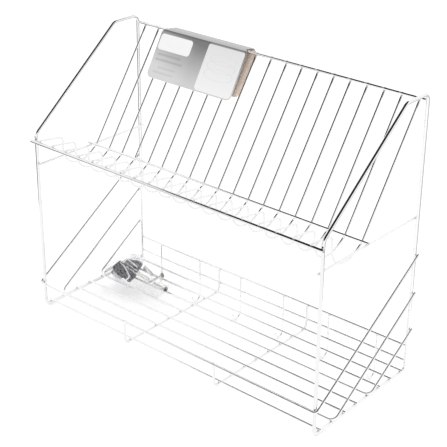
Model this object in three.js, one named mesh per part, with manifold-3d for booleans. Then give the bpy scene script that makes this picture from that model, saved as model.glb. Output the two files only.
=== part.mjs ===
import * as THREE from 'three';
import { mergeVertices } from 'three/addons/utils/BufferGeometryUtils.js';
import Module from 'manifold-3d';

const wasm = await Module();
wasm.setup();

// Dish rack of welded, chromed steel wire that hangs on a wall, with its folded header card and its bag of
// fixings. Lengths are in millimetres. +X is to the right, -Y is the front and +Z is up. Everything is placed
// with the front posts on Y = 0 and the feet on Z = 0, and the rack is then set on the middle of its own box.

// Wires, and the clearance at each weld and wherever two pieces touch
const frameRod = 5;
const topRailRod = 4;
const trayWire = 3.5;
const plateWire = 3;
const hookWire = 3;
const gap = 0.3;
const wireSides = 8;
const bendStep = THREE.MathUtils.degToRad(15);

// Side frames: a front post, a slant, a level top, a rear post and a foot wire, bent from one rod
const frameSpacing = 476;
const frameDepth = 196;
const frameTop = 383;
const shoulderAboveRail = 9.6;
const slantDepth = 150;
const shoulderRadius = 12;
const slantRadius = 10;
const frameCornerRadius = 8;

// Rails and crossbars that join the two side frames
const frontRailHeight = 253;
const frontRailOverhang = 4.5;
const topRailDrop = 9;
const shelfHeight = 220;
const crossbarOverhang = 3;
const plateRailOverhang = 3.5;
const rearRailHeight = 38;
const lowRearRailHeight = 15.8;

// Plate wires: a lip over the front rail, a riser, a seat, and a slanted back up to the top rail
const plateWireCount = 19;
const plateWireFromFrame = 13;
const lipOverhang = 1.2;
const lipAngle = THREE.MathUtils.degToRad(9);
const riserDepth = 35;
const seatHeight = 208;
const seatDepth = 74;
const kneeDepth = 95.5;
const tipOverhang = 3;
const lipRadius = 7;
const seatFrontRadius = 26.5;
const seatRearRadius = 20;
const kneeRadius = 9;

// Guards: bent wires that run across the tray and up to the rear posts on both sides
const frontGuardHeight = 38;
const frontGuardRearHeight = 172;
const middleGuardRearHeight = 118;
const lowGuardRearHeight = 65;
const guardRearOverhang = 2;
const guardRadius = 9;

// Tray: wires along the rack on the foot wires, and two cross wires under them
const trayWireFromFront = 9;
const trayWireFromRear = 12;
const trayWireOverhang = 4;
const trayWireNames = [
  'tray_wire_1', 'middle_guard', 'tray_wire_2', 'tray_wire_3',
  'low_guard', 'tray_wire_4', 'tray_wire_5', 'tray_wire_6',
];
const crossWireRadius = 8;
const crossWireOverhang = 1;
const crossWireShare = 1 / 6;

// Hooks for cups and cloths below the tray
const hookCount = 6;
const hookFromFrame = 43.6;
const hookOverhang = 1.5;
const hookRadius = 8.25;
const hookDrop = 23;
const hookTipRise = 0.75;

// Header card, folded over the top rail: a front panel, a narrow top band and a rear panel set to one side
const cardWidth = 149;
const cardFromFrame = 126;
const cardPanelLength = 70;
const cardThickness = 1;
const cardCornerRadius = 8;
const cardBandInset = 5;
const cardSkew = 10;
const cardFoldRadius = 1.6;
const cardLooseness = 0.5;

// Wall brackets: a flat plate with a screw hole, and a lip whose slot takes the top rail
const bracketWidth = 20;
const bracketLength = 34;
const bracketPlate = 4.6;
const bracketDepth = 13;
const bracketLipStart = 2.7;
const bracketLipTop = 20;
const bracketSlotBottom = 11;
const bracketSlotPlay = 0.6;
const bracketWeb = 1.2;
const bracketCorner = 3;
const bracketHole = 4.6;
const bracketSink = 9;
const bracketHoleFromTop = 7.5;
const bracketCurveSteps = 4;

// Countersunk screws, and wall plugs with a split end
const screwLength = 30;
const screwThread = 4;
const screwShank = 3;
const screwHead = 8;
const screwHeadHeight = 3;
const screwPoint = 5;
const screwThreadLength = 19;
const screwDrive = 4;
const screwDriveWidth = 1;
const screwDriveDepth = 1.4;
const plugLength = 25;
const plugDiameter = 6;
const plugCollar = 7.4;
const plugCollarHeight = 1.2;
const plugNose = 4.4;
const plugNoseLength = 5;
const plugBore = 3.2;
const plugBoreDepth = 21;
const plugSlot = 1;
const plugSlotLength = 16;
const turnedSides = 12;

// Bag of clear film around the fixings, shut on the left and open at its mouth on the right
const filmThickness = 0.4;
const bagLength = 112;
const bagWidth = 76;
const bagHeight = 28;
const bagFromFrame = 3.4;
const bagFromRearPost = 16;
// Half of the bag's section, as shares of its half width and of its height, from the floor up to the top
const bagSectionShares = [[0.97, 0], [1, 0.15], [1, 0.55], [0.93, 0.82], [0.72, 0.96], [0.35, 1]];
// Places along the bag, with its height and width there, as shares of its length, height and width
const bagStationShares = [
  [0, 0.62, 0.82], [0.02, 0.9, 0.95], [0.06, 1, 1], [0.3, 1, 1], [0.5, 1, 1],
  [0.68, 0.74, 0.98], [0.84, 0.54, 0.95], [1, 0.4, 0.93],
];

// Where the fixings lie in the bag: how far in from the left side frame, how far forward of the rear posts,
// and which way round each one is turned
const bracketPlaces = [
  { name: 'wall_bracket_1', inward: 23.8, forward: 79, turn: THREE.MathUtils.degToRad(105), faceDown: true },
  { name: 'wall_bracket_2', inward: 33, forward: 61.6, turn: THREE.MathUtils.degToRad(26), faceDown: false },
];
const screwPlaces = [
  { name: 'screw_1', inward: 110, forward: 65.5, turn: THREE.MathUtils.degToRad(-97) },
  { name: 'screw_2', inward: 77, forward: 37.5, turn: THREE.MathUtils.degToRad(-4) },
];
const plugPlaces = [
  { name: 'wall_plug_1', inward: 47, forward: 57, turn: THREE.MathUtils.degToRad(-98) },
  { name: 'wall_plug_2', inward: 42, forward: 38, turn: THREE.MathUtils.degToRad(-110) },
];

// How far a cutting shape runs past the face that it cuts
const overrun = 1;
// How often the knee of a plate wire is set right for the slope of its back
const kneePasses = 4;

const chrome = { color: 0xdfe2e6, roughness: 0.12, metalness: 1 };
const cardboard = { color: 0x9d9b9c, roughness: 0.55, metalness: 0 };
const blackPlastic = { color: 0x1c1b20, roughness: 0.45, metalness: 0 };
const creamPlastic = { color: 0xe9e1cf, roughness: 0.5, metalness: 0 };
const greyPlastic = { color: 0xb4b5b8, roughness: 0.5, metalness: 0 };
const zincSteel = { color: 0xb9aa94, roughness: 0.35, metalness: 1 };
const clearFilm = { color: 0xf4f6f8, roughness: 0.15, metalness: 0 };

const rack = new THREE.Group();
const halfSpacing = frameSpacing / 2;
const point = (x, y, z) => new THREE.Vector3(x, y, z);

/** Puts a named piece with its own material in the rack. */
function addPiece(name, geometry, finish) {
  const mesh = new THREE.Mesh(geometry, new THREE.MeshStandardMaterial(finish));
  mesh.name = name;
  rack.add(mesh);
  return mesh;
}

/** The stations of one round bend, each with its place and its heading. */
function roundBend(before, corner, after, radius) {
  const inward = before.clone().sub(corner).normalize();
  const outward = after.clone().sub(corner).normalize();
  const half = inward.angleTo(outward) / 2;
  const middle = inward.clone().add(outward).normalize();
  const centre = corner.clone().addScaledVector(middle, radius / Math.sin(half));
  const arm = corner.clone().addScaledVector(inward, radius / Math.tan(half)).sub(centre).normalize();
  const heading = inward.clone().negate();
  const turn = Math.PI - 2 * half;
  const steps = Math.max(1, Math.round(turn / bendStep));
  return Array.from({ length: steps + 1 }, (_, step) => {
    const angle = turn * step / steps;
    const place = centre.clone()
      .addScaledVector(arm, radius * Math.cos(angle))
      .addScaledVector(heading, radius * Math.sin(angle));
    const direction = heading.clone().multiplyScalar(Math.cos(angle)).addScaledVector(arm, -Math.sin(angle));
    return { place, direction };
  });
}

/** A wire's centre line: straight runs and round bends, with its stations only where the wire needs them. */
class BentLine extends THREE.Curve {
  constructor(corners, closed = false) {
    super();
    const count = corners.length;
    this.closed = closed;
    this.stations = corners.flatMap((corner, index) => {
      const before = corners[(index + count - 1) % count].at;
      const after = corners[(index + 1) % count].at;
      const isEnd = !closed && (index === 0 || index === count - 1);
      if (!isEnd) return roundBend(before, corner.at, after, corner.radius);
      const direction = index === 0 ? after.clone().sub(corner.at) : corner.at.clone().sub(before);
      return [{ place: corner.at, direction: direction.normalize() }];
    });
    this.steps = closed ? this.stations.length : this.stations.length - 1;
  }

  station(share) {
    return this.stations[Math.round(share * this.steps) % this.stations.length];
  }

  getPoint(share, target = new THREE.Vector3()) {
    return target.copy(this.station(share).place);
  }

  getPointAt(share, target) {
    return this.getPoint(share, target);
  }

  getTangentAt(share, target = new THREE.Vector3()) {
    return target.copy(this.station(share).direction);
  }
}

/** The points of a wire's section, which has the same area as the round one. */
function roundSection(diameter) {
  const sideAngle = 2 * Math.PI / wireSides;
  const reach = diameter / 2 * Math.sqrt(sideAngle / Math.sin(sideAngle));
  return Array.from({ length: wireSides }, (_, side) => {
    const angle = 2 * Math.PI * (side + 1 / 2) / wireSides;
    return new THREE.Vector2(Math.cos(angle), Math.sin(angle)).multiplyScalar(reach);
  });
}

/** A wire with flat ends along a list of corners. */
function wireGeometry(corners, diameter) {
  const line = new BentLine(corners);
  const section = new THREE.Shape(roundSection(diameter));
  return new THREE.ExtrudeGeometry(section, { steps: line.steps, extrudePath: line, bevelEnabled: false });
}

/** A rod bent and welded into a closed loop. */
function loopGeometry(corners, diameter) {
  const line = new BentLine(corners, true);
  const frames = line.computeFrenetFrames(line.steps, true);
  const section = roundSection(diameter);
  const sides = section.length;
  const places = [];
  const faces = [];
  line.stations.forEach((station, ring) => {
    section.forEach((offset, side) => {
      const place = station.place.clone()
        .addScaledVector(frames.normals[ring], offset.x)
        .addScaledVector(frames.binormals[ring], offset.y);
      places.push(...place.toArray());
      const nextSide = (side + 1) % sides;
      const nextRing = (ring + 1) % line.stations.length;
      const here = ring * sides + side;
      const beside = ring * sides + nextSide;
      const ahead = nextRing * sides + side;
      const across = nextRing * sides + nextSide;
      faces.push(here, beside, across, here, across, ahead);
    });
  });
  return indexedGeometry(places, faces);
}

function indexedGeometry(places, faces) {
  const geometry = new THREE.BufferGeometry();
  geometry.setAttribute('position', new THREE.Float32BufferAttribute(places, 3));
  geometry.setIndex(faces);
  geometry.computeVertexNormals();
  return geometry;
}

/** A closed geometry as a solid that can be joined and cut. */
function toSolid(geometry) {
  const bare = geometry.clone();
  bare.deleteAttribute('normal');
  bare.deleteAttribute('uv');
  const merged = mergeVertices(bare);
  const vertProperties = Float32Array.from(merged.attributes.position.array);
  const triVerts = Uint32Array.from(merged.index.array);
  return new wasm.Manifold(new wasm.Mesh({ numProp: 3, vertProperties, triVerts }));
}

function fromSolid(solid) {
  const mesh = solid.getMesh();
  return indexedGeometry(Array.from(mesh.vertProperties), Array.from(mesh.triVerts));
}

/** A straight wire along the rack, centred on X = 0. */
function longWire(name, length, y, z, diameter) {
  const half = length / 2;
  addPiece(name, wireGeometry([{ at: point(-half, y, z) }, { at: point(half, y, z) }], diameter), chrome);
}

// Heights and depths that follow from the sizes above
const shoulderHeight = frontRailHeight + shoulderAboveRail;
const topRailHeight = frameTop - topRailDrop;
const plateWirePitch = (frameSpacing - 2 * plateWireFromFrame) / (plateWireCount - 1);
const trayWirePitch = (frameDepth - trayWireFromFront - trayWireFromRear) / (trayWireNames.length - 1);
const hookPitch = (frameSpacing - 2 * hookFromFrame) / (hookCount - 1);
const cardCentre = cardFromFrame - halfSpacing;
const footWireHeight = frameRod / 2;
const frontRailDepth = -(frameRod + gap);
const sideWireOffset = frameRod / 2 + trayWire / 2 + gap;
const trayWireHeight = frameRod + trayWire / 2 + gap;
const crossWireHeight = trayWireHeight - trayWire - gap;
const plateRailHeight = shelfHeight + trayWire + gap;
const betweenPosts = frameSpacing - frameRod - 2 * gap;
const bagUnderside = trayWireHeight + trayWire / 2 + gap;
const bagFloor = bagUnderside + filmThickness + gap;

function sideFrame(name, x) {
  const corners = [
    { at: point(x, 0, footWireHeight), radius: frameCornerRadius },
    { at: point(x, 0, shoulderHeight), radius: shoulderRadius },
    { at: point(x, slantDepth, frameTop), radius: slantRadius },
    { at: point(x, frameDepth, frameTop), radius: frameCornerRadius },
    { at: point(x, frameDepth, footWireHeight), radius: frameCornerRadius },
  ];
  addPiece(name, loopGeometry(corners, frameRod), chrome);
}

function crossbar(name, side) {
  const x = side * (halfSpacing - sideWireOffset);
  const corners = [
    { at: point(x, -crossbarOverhang, shelfHeight) },
    { at: point(x, frameDepth + crossbarOverhang, shelfHeight) },
  ];
  addPiece(name, wireGeometry(corners, trayWire), chrome);
}

/** The corners of one plate wire in its own upright plane, as depth and height, with the rail it carries. */
function platePath() {
  const lipReach = (frameRod / 2 + plateWire / 2 + gap) / Math.cos(lipAngle);
  const lipFall = Math.tan(lipAngle);
  const tipDepth = frontRailDepth - lipOverhang;
  const tip = new THREE.Vector2(tipDepth, frontRailHeight + lipReach + lipOverhang * lipFall);
  const lipCorner = new THREE.Vector2(riserDepth, tip.y - (riserDepth - tipDepth) * lipFall);
  const railReach = plateWire / 2 + trayWire / 2 + 2 * gap;
  const topRail = new THREE.Vector2(frameDepth, topRailHeight);
  let knee = new THREE.Vector2(kneeDepth, plateRailHeight - railReach);
  let rail = knee;
  let back = knee;
  for (let pass = 0; pass < kneePasses; pass++) {
    const toRail = topRail.clone().sub(knee);
    const lean = Math.asin((topRailRod / 2 + plateWire / 2 + gap) / toRail.length());
    const backAngle = toRail.angle() - lean;
    const seatAngle = Math.atan2(knee.y - seatHeight, kneeDepth - seatDepth);
    const middle = (backAngle + seatAngle) / 2;
    const reach = railReach / Math.cos((backAngle - seatAngle) / 2);
    rail = new THREE.Vector2(-Math.sin(middle), Math.cos(middle)).multiplyScalar(reach).add(knee);
    knee.y += plateRailHeight - rail.y;
    back = new THREE.Vector2(Math.cos(backAngle), Math.sin(backAngle));
  }
  const backLength = topRail.clone().sub(knee).dot(back);
  return { tip, lipCorner, knee, rail, back, backLength };
}

const plate = platePath();
const plateEnd = plate.knee.clone().addScaledVector(plate.back, plate.backLength + tipOverhang);

function plateWireAt(name, x) {
  const corners = [
    { at: point(x, plate.tip.x, plate.tip.y) },
    { at: point(x, plate.lipCorner.x, plate.lipCorner.y), radius: lipRadius },
    { at: point(x, riserDepth, seatHeight), radius: seatFrontRadius },
    { at: point(x, seatDepth, seatHeight), radius: seatRearRadius },
    { at: point(x, plate.knee.x, plate.knee.y), radius: kneeRadius },
    { at: point(x, plateEnd.x, plateEnd.y) },
  ];
  addPiece(name, wireGeometry(corners, plateWire), chrome);
}

/** A wire that runs across at one depth and height, and up on both sides to the rear posts. */
function guard(name, y, z, rearHeight, radius) {
  const x = halfSpacing + sideWireOffset;
  const rearDepth = frameDepth + guardRearOverhang;
  const corners = [
    { at: point(-x, rearDepth, rearHeight) },
    { at: point(-x, y, z), radius },
    { at: point(x, y, z), radius },
    { at: point(x, rearDepth, rearHeight) },
  ];
  addPiece(name, wireGeometry(corners, trayWire), chrome);
}

function trayWires() {
  const rearHeights = { middle_guard: middleGuardRearHeight, low_guard: lowGuardRearHeight };
  trayWireNames.forEach((name, index) => {
    const y = trayWireFromFront + index * trayWirePitch;
    if (name in rearHeights) guard(name, y, trayWireHeight, rearHeights[name], guardRadius);
    else longWire(name, frameSpacing + 2 * trayWireOverhang, y, trayWireHeight, trayWire);
  });
}

function crossWire(name, side) {
  const x = side * frameSpacing * crossWireShare;
  const frontDepth = trayWire + gap - sideWireOffset;
  const rearDepth = frameDepth - trayWire - gap;
  const corners = [
    { at: point(x, frontDepth, frontGuardHeight + crossWireOverhang) },
    { at: point(x, frontDepth, crossWireHeight), radius: crossWireRadius },
    { at: point(x, rearDepth, crossWireHeight), radius: crossWireRadius },
    { at: point(x, rearDepth, rearRailHeight + crossWireOverhang) },
  ];
  addPiece(name, wireGeometry(corners, trayWire), chrome);
}

function hook(name, x) {
  const shankDepth = frameDepth - trayWire / 2 - hookWire / 2 - gap;
  const tipDepth = shankDepth - 2 * hookRadius;
  const corners = [
    { at: point(x, shankDepth, rearRailHeight + hookOverhang) },
    { at: point(x, shankDepth, -hookDrop), radius: hookRadius },
    { at: point(x, tipDepth, -hookDrop), radius: hookRadius },
    { at: point(x, tipDepth, hookRadius + hookTipRise - hookDrop) },
  ];
  addPiece(name, wireGeometry(corners, hookWire), chrome);
}

/** The middle line of the folded card, seen from the side, from the front panel's lower edge to the rear. */
function cardLine() {
  const forward = new THREE.Vector2(-plate.back.y, plate.back.x);
  const onBack = (along, off) => (
    plate.knee.clone().addScaledVector(plate.back, along).addScaledVector(forward, off)
  );
  const skin = cardThickness / 2 + gap;
  const nearWire = plateWire / 2 + skin;
  const overRail = plateWire / 2 + topRailRod + gap + skin + cardLooseness;
  const bandHeight = topRailHeight + topRailRod / 2 + skin + cardLooseness;
  const frontFold = onBack(plate.backLength, overRail);
  frontFold.addScaledVector(plate.back, (bandHeight - frontFold.y) / plate.back.y);
  const rearFold = onBack(plate.backLength, -nearWire);
  rearFold.addScaledVector(plate.back, (bandHeight - rearFold.y) / plate.back.y);
  const frontEdge = onBack(plate.backLength - cardPanelLength, nearWire);
  const rearEdge = rearFold.clone().addScaledVector(plate.back, -cardPanelLength);
  const places = [frontEdge, frontFold, rearFold, rearEdge].map((place) => (
    { at: point(0, place.x, place.y) }
  ));
  places[1].radius = cardFoldRadius;
  places[2].radius = cardFoldRadius;
  return new BentLine(places);
}

/** How far a rounded corner draws in the card's edge, at a distance along it from the corner's start. */
function cornerInset(distance, depth) {
  const rest = Math.max(0, cardCornerRadius - distance) / cardCornerRadius;
  return depth * (1 - Math.sqrt(1 - rest * rest));
}

/** The card: one thin strip along the folded line, with its edges drawn in at the corners and at the band. */
function headerCard() {
  const line = cardLine();
  const lengths = line.stations.map((station, index) => (
    index === 0 ? 0 : station.place.distanceTo(line.stations[index - 1].place)
  ));
  const stops = lengths.map((_, index) => (
    lengths.slice(0, index + 1).reduce((sum, length) => sum + length, 0)
  ));
  const total = stops.at(-1);
  const bandStart = stops[1];
  const bandEnd = stops.at(-2);
  const cornerSteps = 4;
  const cornerShares = Array.from({ length: cornerSteps }, (_, step) => (
    1 - Math.cos(Math.PI / 2 * (step + 1) / cornerSteps)
  ));
  const inCorner = cornerShares.map((share) => share * cardCornerRadius);
  const rows = [
    0, ...inCorner, ...inCorner.map((step) => bandStart - step).reverse(),
    ...stops.slice(1, -1),
    ...inCorner.map((step) => bandEnd + step), ...inCorner.map((step) => total - step).reverse(), total,
  ];
  const corners = rows.flatMap((row) => {
    const index = Math.max(1, stops.findIndex((stop) => stop >= row));
    const share = (row - stops[index - 1]) / (stops[index] - stops[index - 1]);
    const { place: from, direction: fromHeading } = line.stations[index - 1];
    const { place: to, direction: toHeading } = line.stations[index];
    const place = from.clone().lerp(to, share);
    const heading = fromHeading.clone().lerp(toHeading, share).normalize();
    const outward = point(0, -heading.z, heading.y).multiplyScalar(cardThickness / 2);
    const edge = cornerInset(Math.min(row, total - row), cardCornerRadius);
    const fold = row < bandStart ? cornerInset(bandStart - row, cardBandInset)
      : row > bandEnd ? cornerInset(row - bandEnd, cardBandInset) : cardBandInset;
    const half = cardWidth / 2 - edge - fold;
    const skew = cardSkew * THREE.MathUtils.clamp((row - bandStart) / (bandEnd - bandStart), 0, 1);
    const middle = cardCentre + skew;
    return [
      place.clone().add(outward).setX(middle - half), place.clone().add(outward).setX(middle + half),
      place.clone().sub(outward).setX(middle + half), place.clone().sub(outward).setX(middle - half),
    ];
  });
  const faces = [];
  const perRow = 4;
  const rowCount = corners.length / perRow;
  for (let row = 0; row < rowCount - 1; row++) {
    for (let side = 0; side < perRow; side++) {
      const here = row * perRow + side;
      const beside = row * perRow + (side + 1) % perRow;
      faces.push(here, beside, beside + perRow, here, beside + perRow, here + perRow);
    }
  }
  const last = (rowCount - 1) * perRow;
  faces.push(0, 2, 1, 0, 3, 2, last, last + 1, last + 2, last, last + 2, last + 3);
  const geometry = indexedGeometry(corners.flatMap((corner) => corner.toArray()), faces);
  addPiece('header_card', geometry, cardboard);
}

/** A rectangle on the X axis with rounded corners. */
function roundedRectangle(width, height, radius) {
  const half = width / 2;
  const shape = new THREE.Shape();
  shape.absarc(half - radius, radius, radius, -Math.PI / 2, 0);
  shape.absarc(half - radius, height - radius, radius, 0, Math.PI / 2);
  shape.absarc(radius - half, height - radius, radius, Math.PI / 2, Math.PI);
  shape.absarc(radius - half, radius, radius, Math.PI, 3 * Math.PI / 2);
  return shape;
}

/** A wall bracket with its flat back on Z = 0, its lower end on Y = 0 and its middle on X = 0. */
function bracketGeometry() {
  const slot = topRailRod + bracketSlotPlay;
  const slotNear = bracketPlate + bracketWeb;
  const profile = new THREE.Shape();
  profile.moveTo(0, 0);
  profile.lineTo(bracketLength, 0);
  profile.lineTo(bracketLength, bracketPlate);
  profile.lineTo(bracketLipTop, bracketPlate);
  profile.lineTo(bracketLipTop, slotNear);
  profile.absarc(bracketSlotBottom, slotNear + slot / 2, slot / 2, -Math.PI / 2, -3 * Math.PI / 2, true);
  profile.lineTo(bracketLipTop, slotNear + slot);
  profile.lineTo(bracketLipTop, bracketDepth);
  const lipCorner = bracketLipStart + bracketCorner;
  profile.absarc(lipCorner, bracketDepth - bracketCorner, bracketCorner, Math.PI / 2, Math.PI);
  profile.lineTo(bracketLipStart, bracketPlate);
  profile.lineTo(0, bracketPlate);
  const side = new THREE.ExtrudeGeometry(
    profile, { depth: bracketWidth, bevelEnabled: false, curveSegments: bracketCurveSteps },
  );
  side.translate(0, 0, -bracketWidth / 2);
  side.applyMatrix4(new THREE.Matrix4().makeBasis(point(0, 1, 0), point(0, 0, 1), point(1, 0, 0)));
  const plan = new THREE.ExtrudeGeometry(
    roundedRectangle(bracketWidth, bracketLength, bracketCorner),
    { depth: bracketDepth + 2 * overrun, bevelEnabled: false, curveSegments: bracketCurveSteps },
  );
  plan.translate(0, 0, -overrun);
  const sinkDepth = (bracketSink - bracketHole) / 2;
  const hole = new THREE.LatheGeometry([
    new THREE.Vector2(0, -overrun),
    new THREE.Vector2(bracketHole / 2, -overrun),
    new THREE.Vector2(bracketHole / 2, bracketPlate - sinkDepth),
    new THREE.Vector2(bracketSink / 2, bracketPlate),
    new THREE.Vector2(bracketSink / 2, bracketPlate + overrun),
    new THREE.Vector2(0, bracketPlate + overrun),
  ], turnedSides);
  hole.rotateX(Math.PI / 2);
  hole.translate(0, bracketLength - bracketHoleFromTop, 0);
  return fromSolid(toSolid(side).intersect(toSolid(plan)).subtract(toSolid(hole)));
}

/** A countersunk screw along Y, with its point at the origin and a crossed recess in its head. */
function screwGeometry() {
  const headStart = screwLength - screwHeadHeight;
  const body = new THREE.LatheGeometry([
    new THREE.Vector2(0, 0),
    new THREE.Vector2(screwThread / 2, screwPoint),
    new THREE.Vector2(screwThread / 2, screwThreadLength),
    new THREE.Vector2(screwShank / 2, screwThreadLength),
    new THREE.Vector2(screwShank / 2, headStart),
    new THREE.Vector2(screwHead / 2, screwLength),
    new THREE.Vector2(0, screwLength),
  ], turnedSides);
  const bars = [0, Math.PI / 2].map((turn) => {
    const bar = new THREE.BoxGeometry(screwDrive, 2 * screwDriveDepth, screwDriveWidth);
    bar.rotateY(turn);
    bar.translate(0, screwLength, 0);
    return toSolid(bar);
  });
  return fromSolid(toSolid(body).subtract(bars[0].add(bars[1])));
}

/** A wall plug along Y, with the mouth of its bore at the origin and its split end away from it. */
function plugGeometry() {
  const body = new THREE.LatheGeometry([
    new THREE.Vector2(0, plugBoreDepth),
    new THREE.Vector2(plugBore / 2, plugBoreDepth),
    new THREE.Vector2(plugBore / 2, 0),
    new THREE.Vector2(plugCollar / 2, 0),
    new THREE.Vector2(plugCollar / 2, plugCollarHeight),
    new THREE.Vector2(plugDiameter / 2, plugCollarHeight),
    new THREE.Vector2(plugDiameter / 2, plugLength - plugNoseLength),
    new THREE.Vector2(plugNose / 2, plugLength),
    new THREE.Vector2(0, plugLength),
  ], turnedSides);
  const slit = new THREE.BoxGeometry(plugSlot, plugSlotLength + overrun, plugCollar);
  slit.translate(0, plugLength - (plugSlotLength - overrun) / 2, 0);
  return fromSolid(toSolid(body).subtract(toSolid(slit)));
}

/** Where a fixing lies, in the rack, at a height above the bag's floor. */
function laidAt({ inward, forward }, height) {
  return point(inward - halfSpacing, frameDepth - forward, bagFloor + height);
}

/** A bracket lies face down, on the end of its plate and on its lip, or else on its flat back. */
function wallBrackets() {
  const tilt = Math.atan2(bracketDepth - bracketPlate, bracketLength - bracketLipTop);
  const height = bracketLength * Math.sin(tilt) + bracketPlate * Math.cos(tilt);
  bracketPlaces.forEach((place) => {
    const bracket = addPiece(place.name, bracketGeometry(), blackPlastic);
    bracket.rotation.set(place.faceDown ? Math.PI + tilt : 0, 0, place.turn, 'ZYX');
    bracket.position.copy(laidAt(place, place.faceDown ? height : 0));
  });
}

/** The screws lie on the rim of their heads and on the start of their threads. */
function screws() {
  const tilt = Math.atan2((screwHead - screwThread) / 2, screwLength - screwPoint);
  screwPlaces.forEach((place) => {
    const screw = addPiece(place.name, screwGeometry(), zincSteel);
    screw.rotation.set(tilt, 0, place.turn, 'ZYX');
    const height = screwHead / 2 * Math.cos(tilt);
    const head = point(0, screwLength, 0).applyEuler(screw.rotation);
    screw.position.copy(laidAt(place, height)).sub(head);
  });
}

function wallPlugs() {
  const finishes = [creamPlastic, greyPlastic];
  plugPlaces.forEach((place, index) => {
    const plug = addPiece(place.name, plugGeometry(), finishes[index]);
    plug.rotation.z = place.turn;
    plug.position.copy(laidAt(place, plugCollar / 2));
  });
}

/** One ring of the bag, across it, drawn in by the film's thickness for the inside. */
function bagRing(x, width, height, inset) {
  const middleDepth = frameDepth - bagFromRearPost - bagWidth / 2;
  const half = bagSectionShares.map(([across, up]) => point(
    x, across * (width / 2 - inset), bagUnderside + inset + up * (height - 2 * inset),
  ));
  const mirrored = half.map((place) => place.clone().setY(-place.y)).reverse();
  return [...half, ...mirrored].map((place) => place.setY(place.y + middleDepth));
}

/** The bag: one film skin, in and out, shut at the left and turned over at the mouth. */
function fixingsBag() {
  const left = bagFromFrame - halfSpacing;
  const bagSides = 2 * bagSectionShares.length;
  const stations = bagStationShares.map(([along, height, width]) => ({
    x: left + along * bagLength, height: height * bagHeight, width: width * bagWidth,
  }));
  const outer = stations.map(({ x, width, height }) => bagRing(x, width, height, 0));
  const inner = stations.map(({ x, width, height }, index) => (
    bagRing(index === 0 ? x + filmThickness : x, width, height, filmThickness)
  ));
  const rings = [...outer, ...inner.reverse()];
  const places = rings.flat().flatMap((place) => place.toArray());
  const faces = [];
  for (let ring = 0; ring < rings.length - 1; ring++) {
    for (let side = 0; side < bagSides; side++) {
      const here = ring * bagSides + side;
      const beside = ring * bagSides + (side + 1) % bagSides;
      faces.push(here, beside, beside + bagSides, here, beside + bagSides, here + bagSides);
    }
  }
  const last = (rings.length - 1) * bagSides;
  for (let side = 1; side < bagSides - 1; side++) {
    faces.push(0, side + 1, side, last, last + side, last + side + 1);
  }
  addPiece('fixings_bag', indexedGeometry(places, faces), clearFilm);
}

sideFrame('side_frame_left', -halfSpacing);
sideFrame('side_frame_right', halfSpacing);
longWire('upper_front_rail', frameSpacing + 2 * frontRailOverhang, frontRailDepth, frontRailHeight, frameRod);
longWire('top_rear_rail', betweenPosts, frameDepth, topRailHeight, topRailRod);
longWire('rear_rail', betweenPosts, frameDepth, rearRailHeight, trayWire);
longWire('low_rear_rail', betweenPosts, frameDepth, lowRearRailHeight, trayWire);
crossbar('shelf_crossbar_left', -1);
crossbar('shelf_crossbar_right', 1);
const plateRailLength = frameSpacing - 2 * (sideWireOffset - plateRailOverhang);
longWire('plate_rear_rail', plateRailLength, plate.rail.x, plateRailHeight, trayWire);
for (let index = 0; index < plateWireCount; index++) {
  const name = `plate_wire_${String(index + 1).padStart(2, '0')}`;
  plateWireAt(name, (index - (plateWireCount - 1) / 2) * plateWirePitch);
}
guard('front_guard', -sideWireOffset, frontGuardHeight, frontGuardRearHeight, sideWireOffset);
trayWires();
crossWire('cross_wire_left', -1);
crossWire('cross_wire_right', 1);
for (let index = 0; index < hookCount; index++) {
  hook(`hook_${index + 1}`, (index - (hookCount - 1) / 2) * hookPitch);
}
headerCard();
wallBrackets();
screws();
wallPlugs();
fixingsBag();

// The middle of the rack's box goes on the Z axis, and the lowest point of the hooks on Z = 0
const box = new THREE.Box3().setFromObject(rack, true);
const middle = box.getCenter(point(0, 0, 0));
rack.position.set(-middle.x, -middle.y, -box.min.z);

export default rack;
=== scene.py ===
import math
import bpy
import bmesh
import numpy as np
from mathutils import Matrix, Vector
from mathutils.bvhtree import BVHTree


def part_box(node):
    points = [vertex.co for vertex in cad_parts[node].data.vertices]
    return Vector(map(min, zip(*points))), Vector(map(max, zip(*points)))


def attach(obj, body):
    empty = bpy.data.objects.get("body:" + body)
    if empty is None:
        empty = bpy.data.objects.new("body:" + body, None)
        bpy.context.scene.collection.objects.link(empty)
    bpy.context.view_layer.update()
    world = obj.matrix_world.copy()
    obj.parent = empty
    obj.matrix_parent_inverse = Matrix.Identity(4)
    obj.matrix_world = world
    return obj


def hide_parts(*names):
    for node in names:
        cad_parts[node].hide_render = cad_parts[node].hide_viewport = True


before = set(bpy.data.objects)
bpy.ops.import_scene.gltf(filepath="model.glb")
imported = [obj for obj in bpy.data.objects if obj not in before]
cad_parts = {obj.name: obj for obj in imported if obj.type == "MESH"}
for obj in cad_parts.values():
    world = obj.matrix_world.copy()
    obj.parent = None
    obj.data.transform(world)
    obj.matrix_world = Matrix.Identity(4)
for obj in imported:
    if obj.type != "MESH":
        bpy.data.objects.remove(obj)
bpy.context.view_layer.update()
print("frame loaded:", len(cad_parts), "pieces")

mm = 0.001
xAxis, yAxis, zAxis = Vector((1, 0, 0)), Vector((0, 1, 0)), Vector((0, 0, 1))

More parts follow.
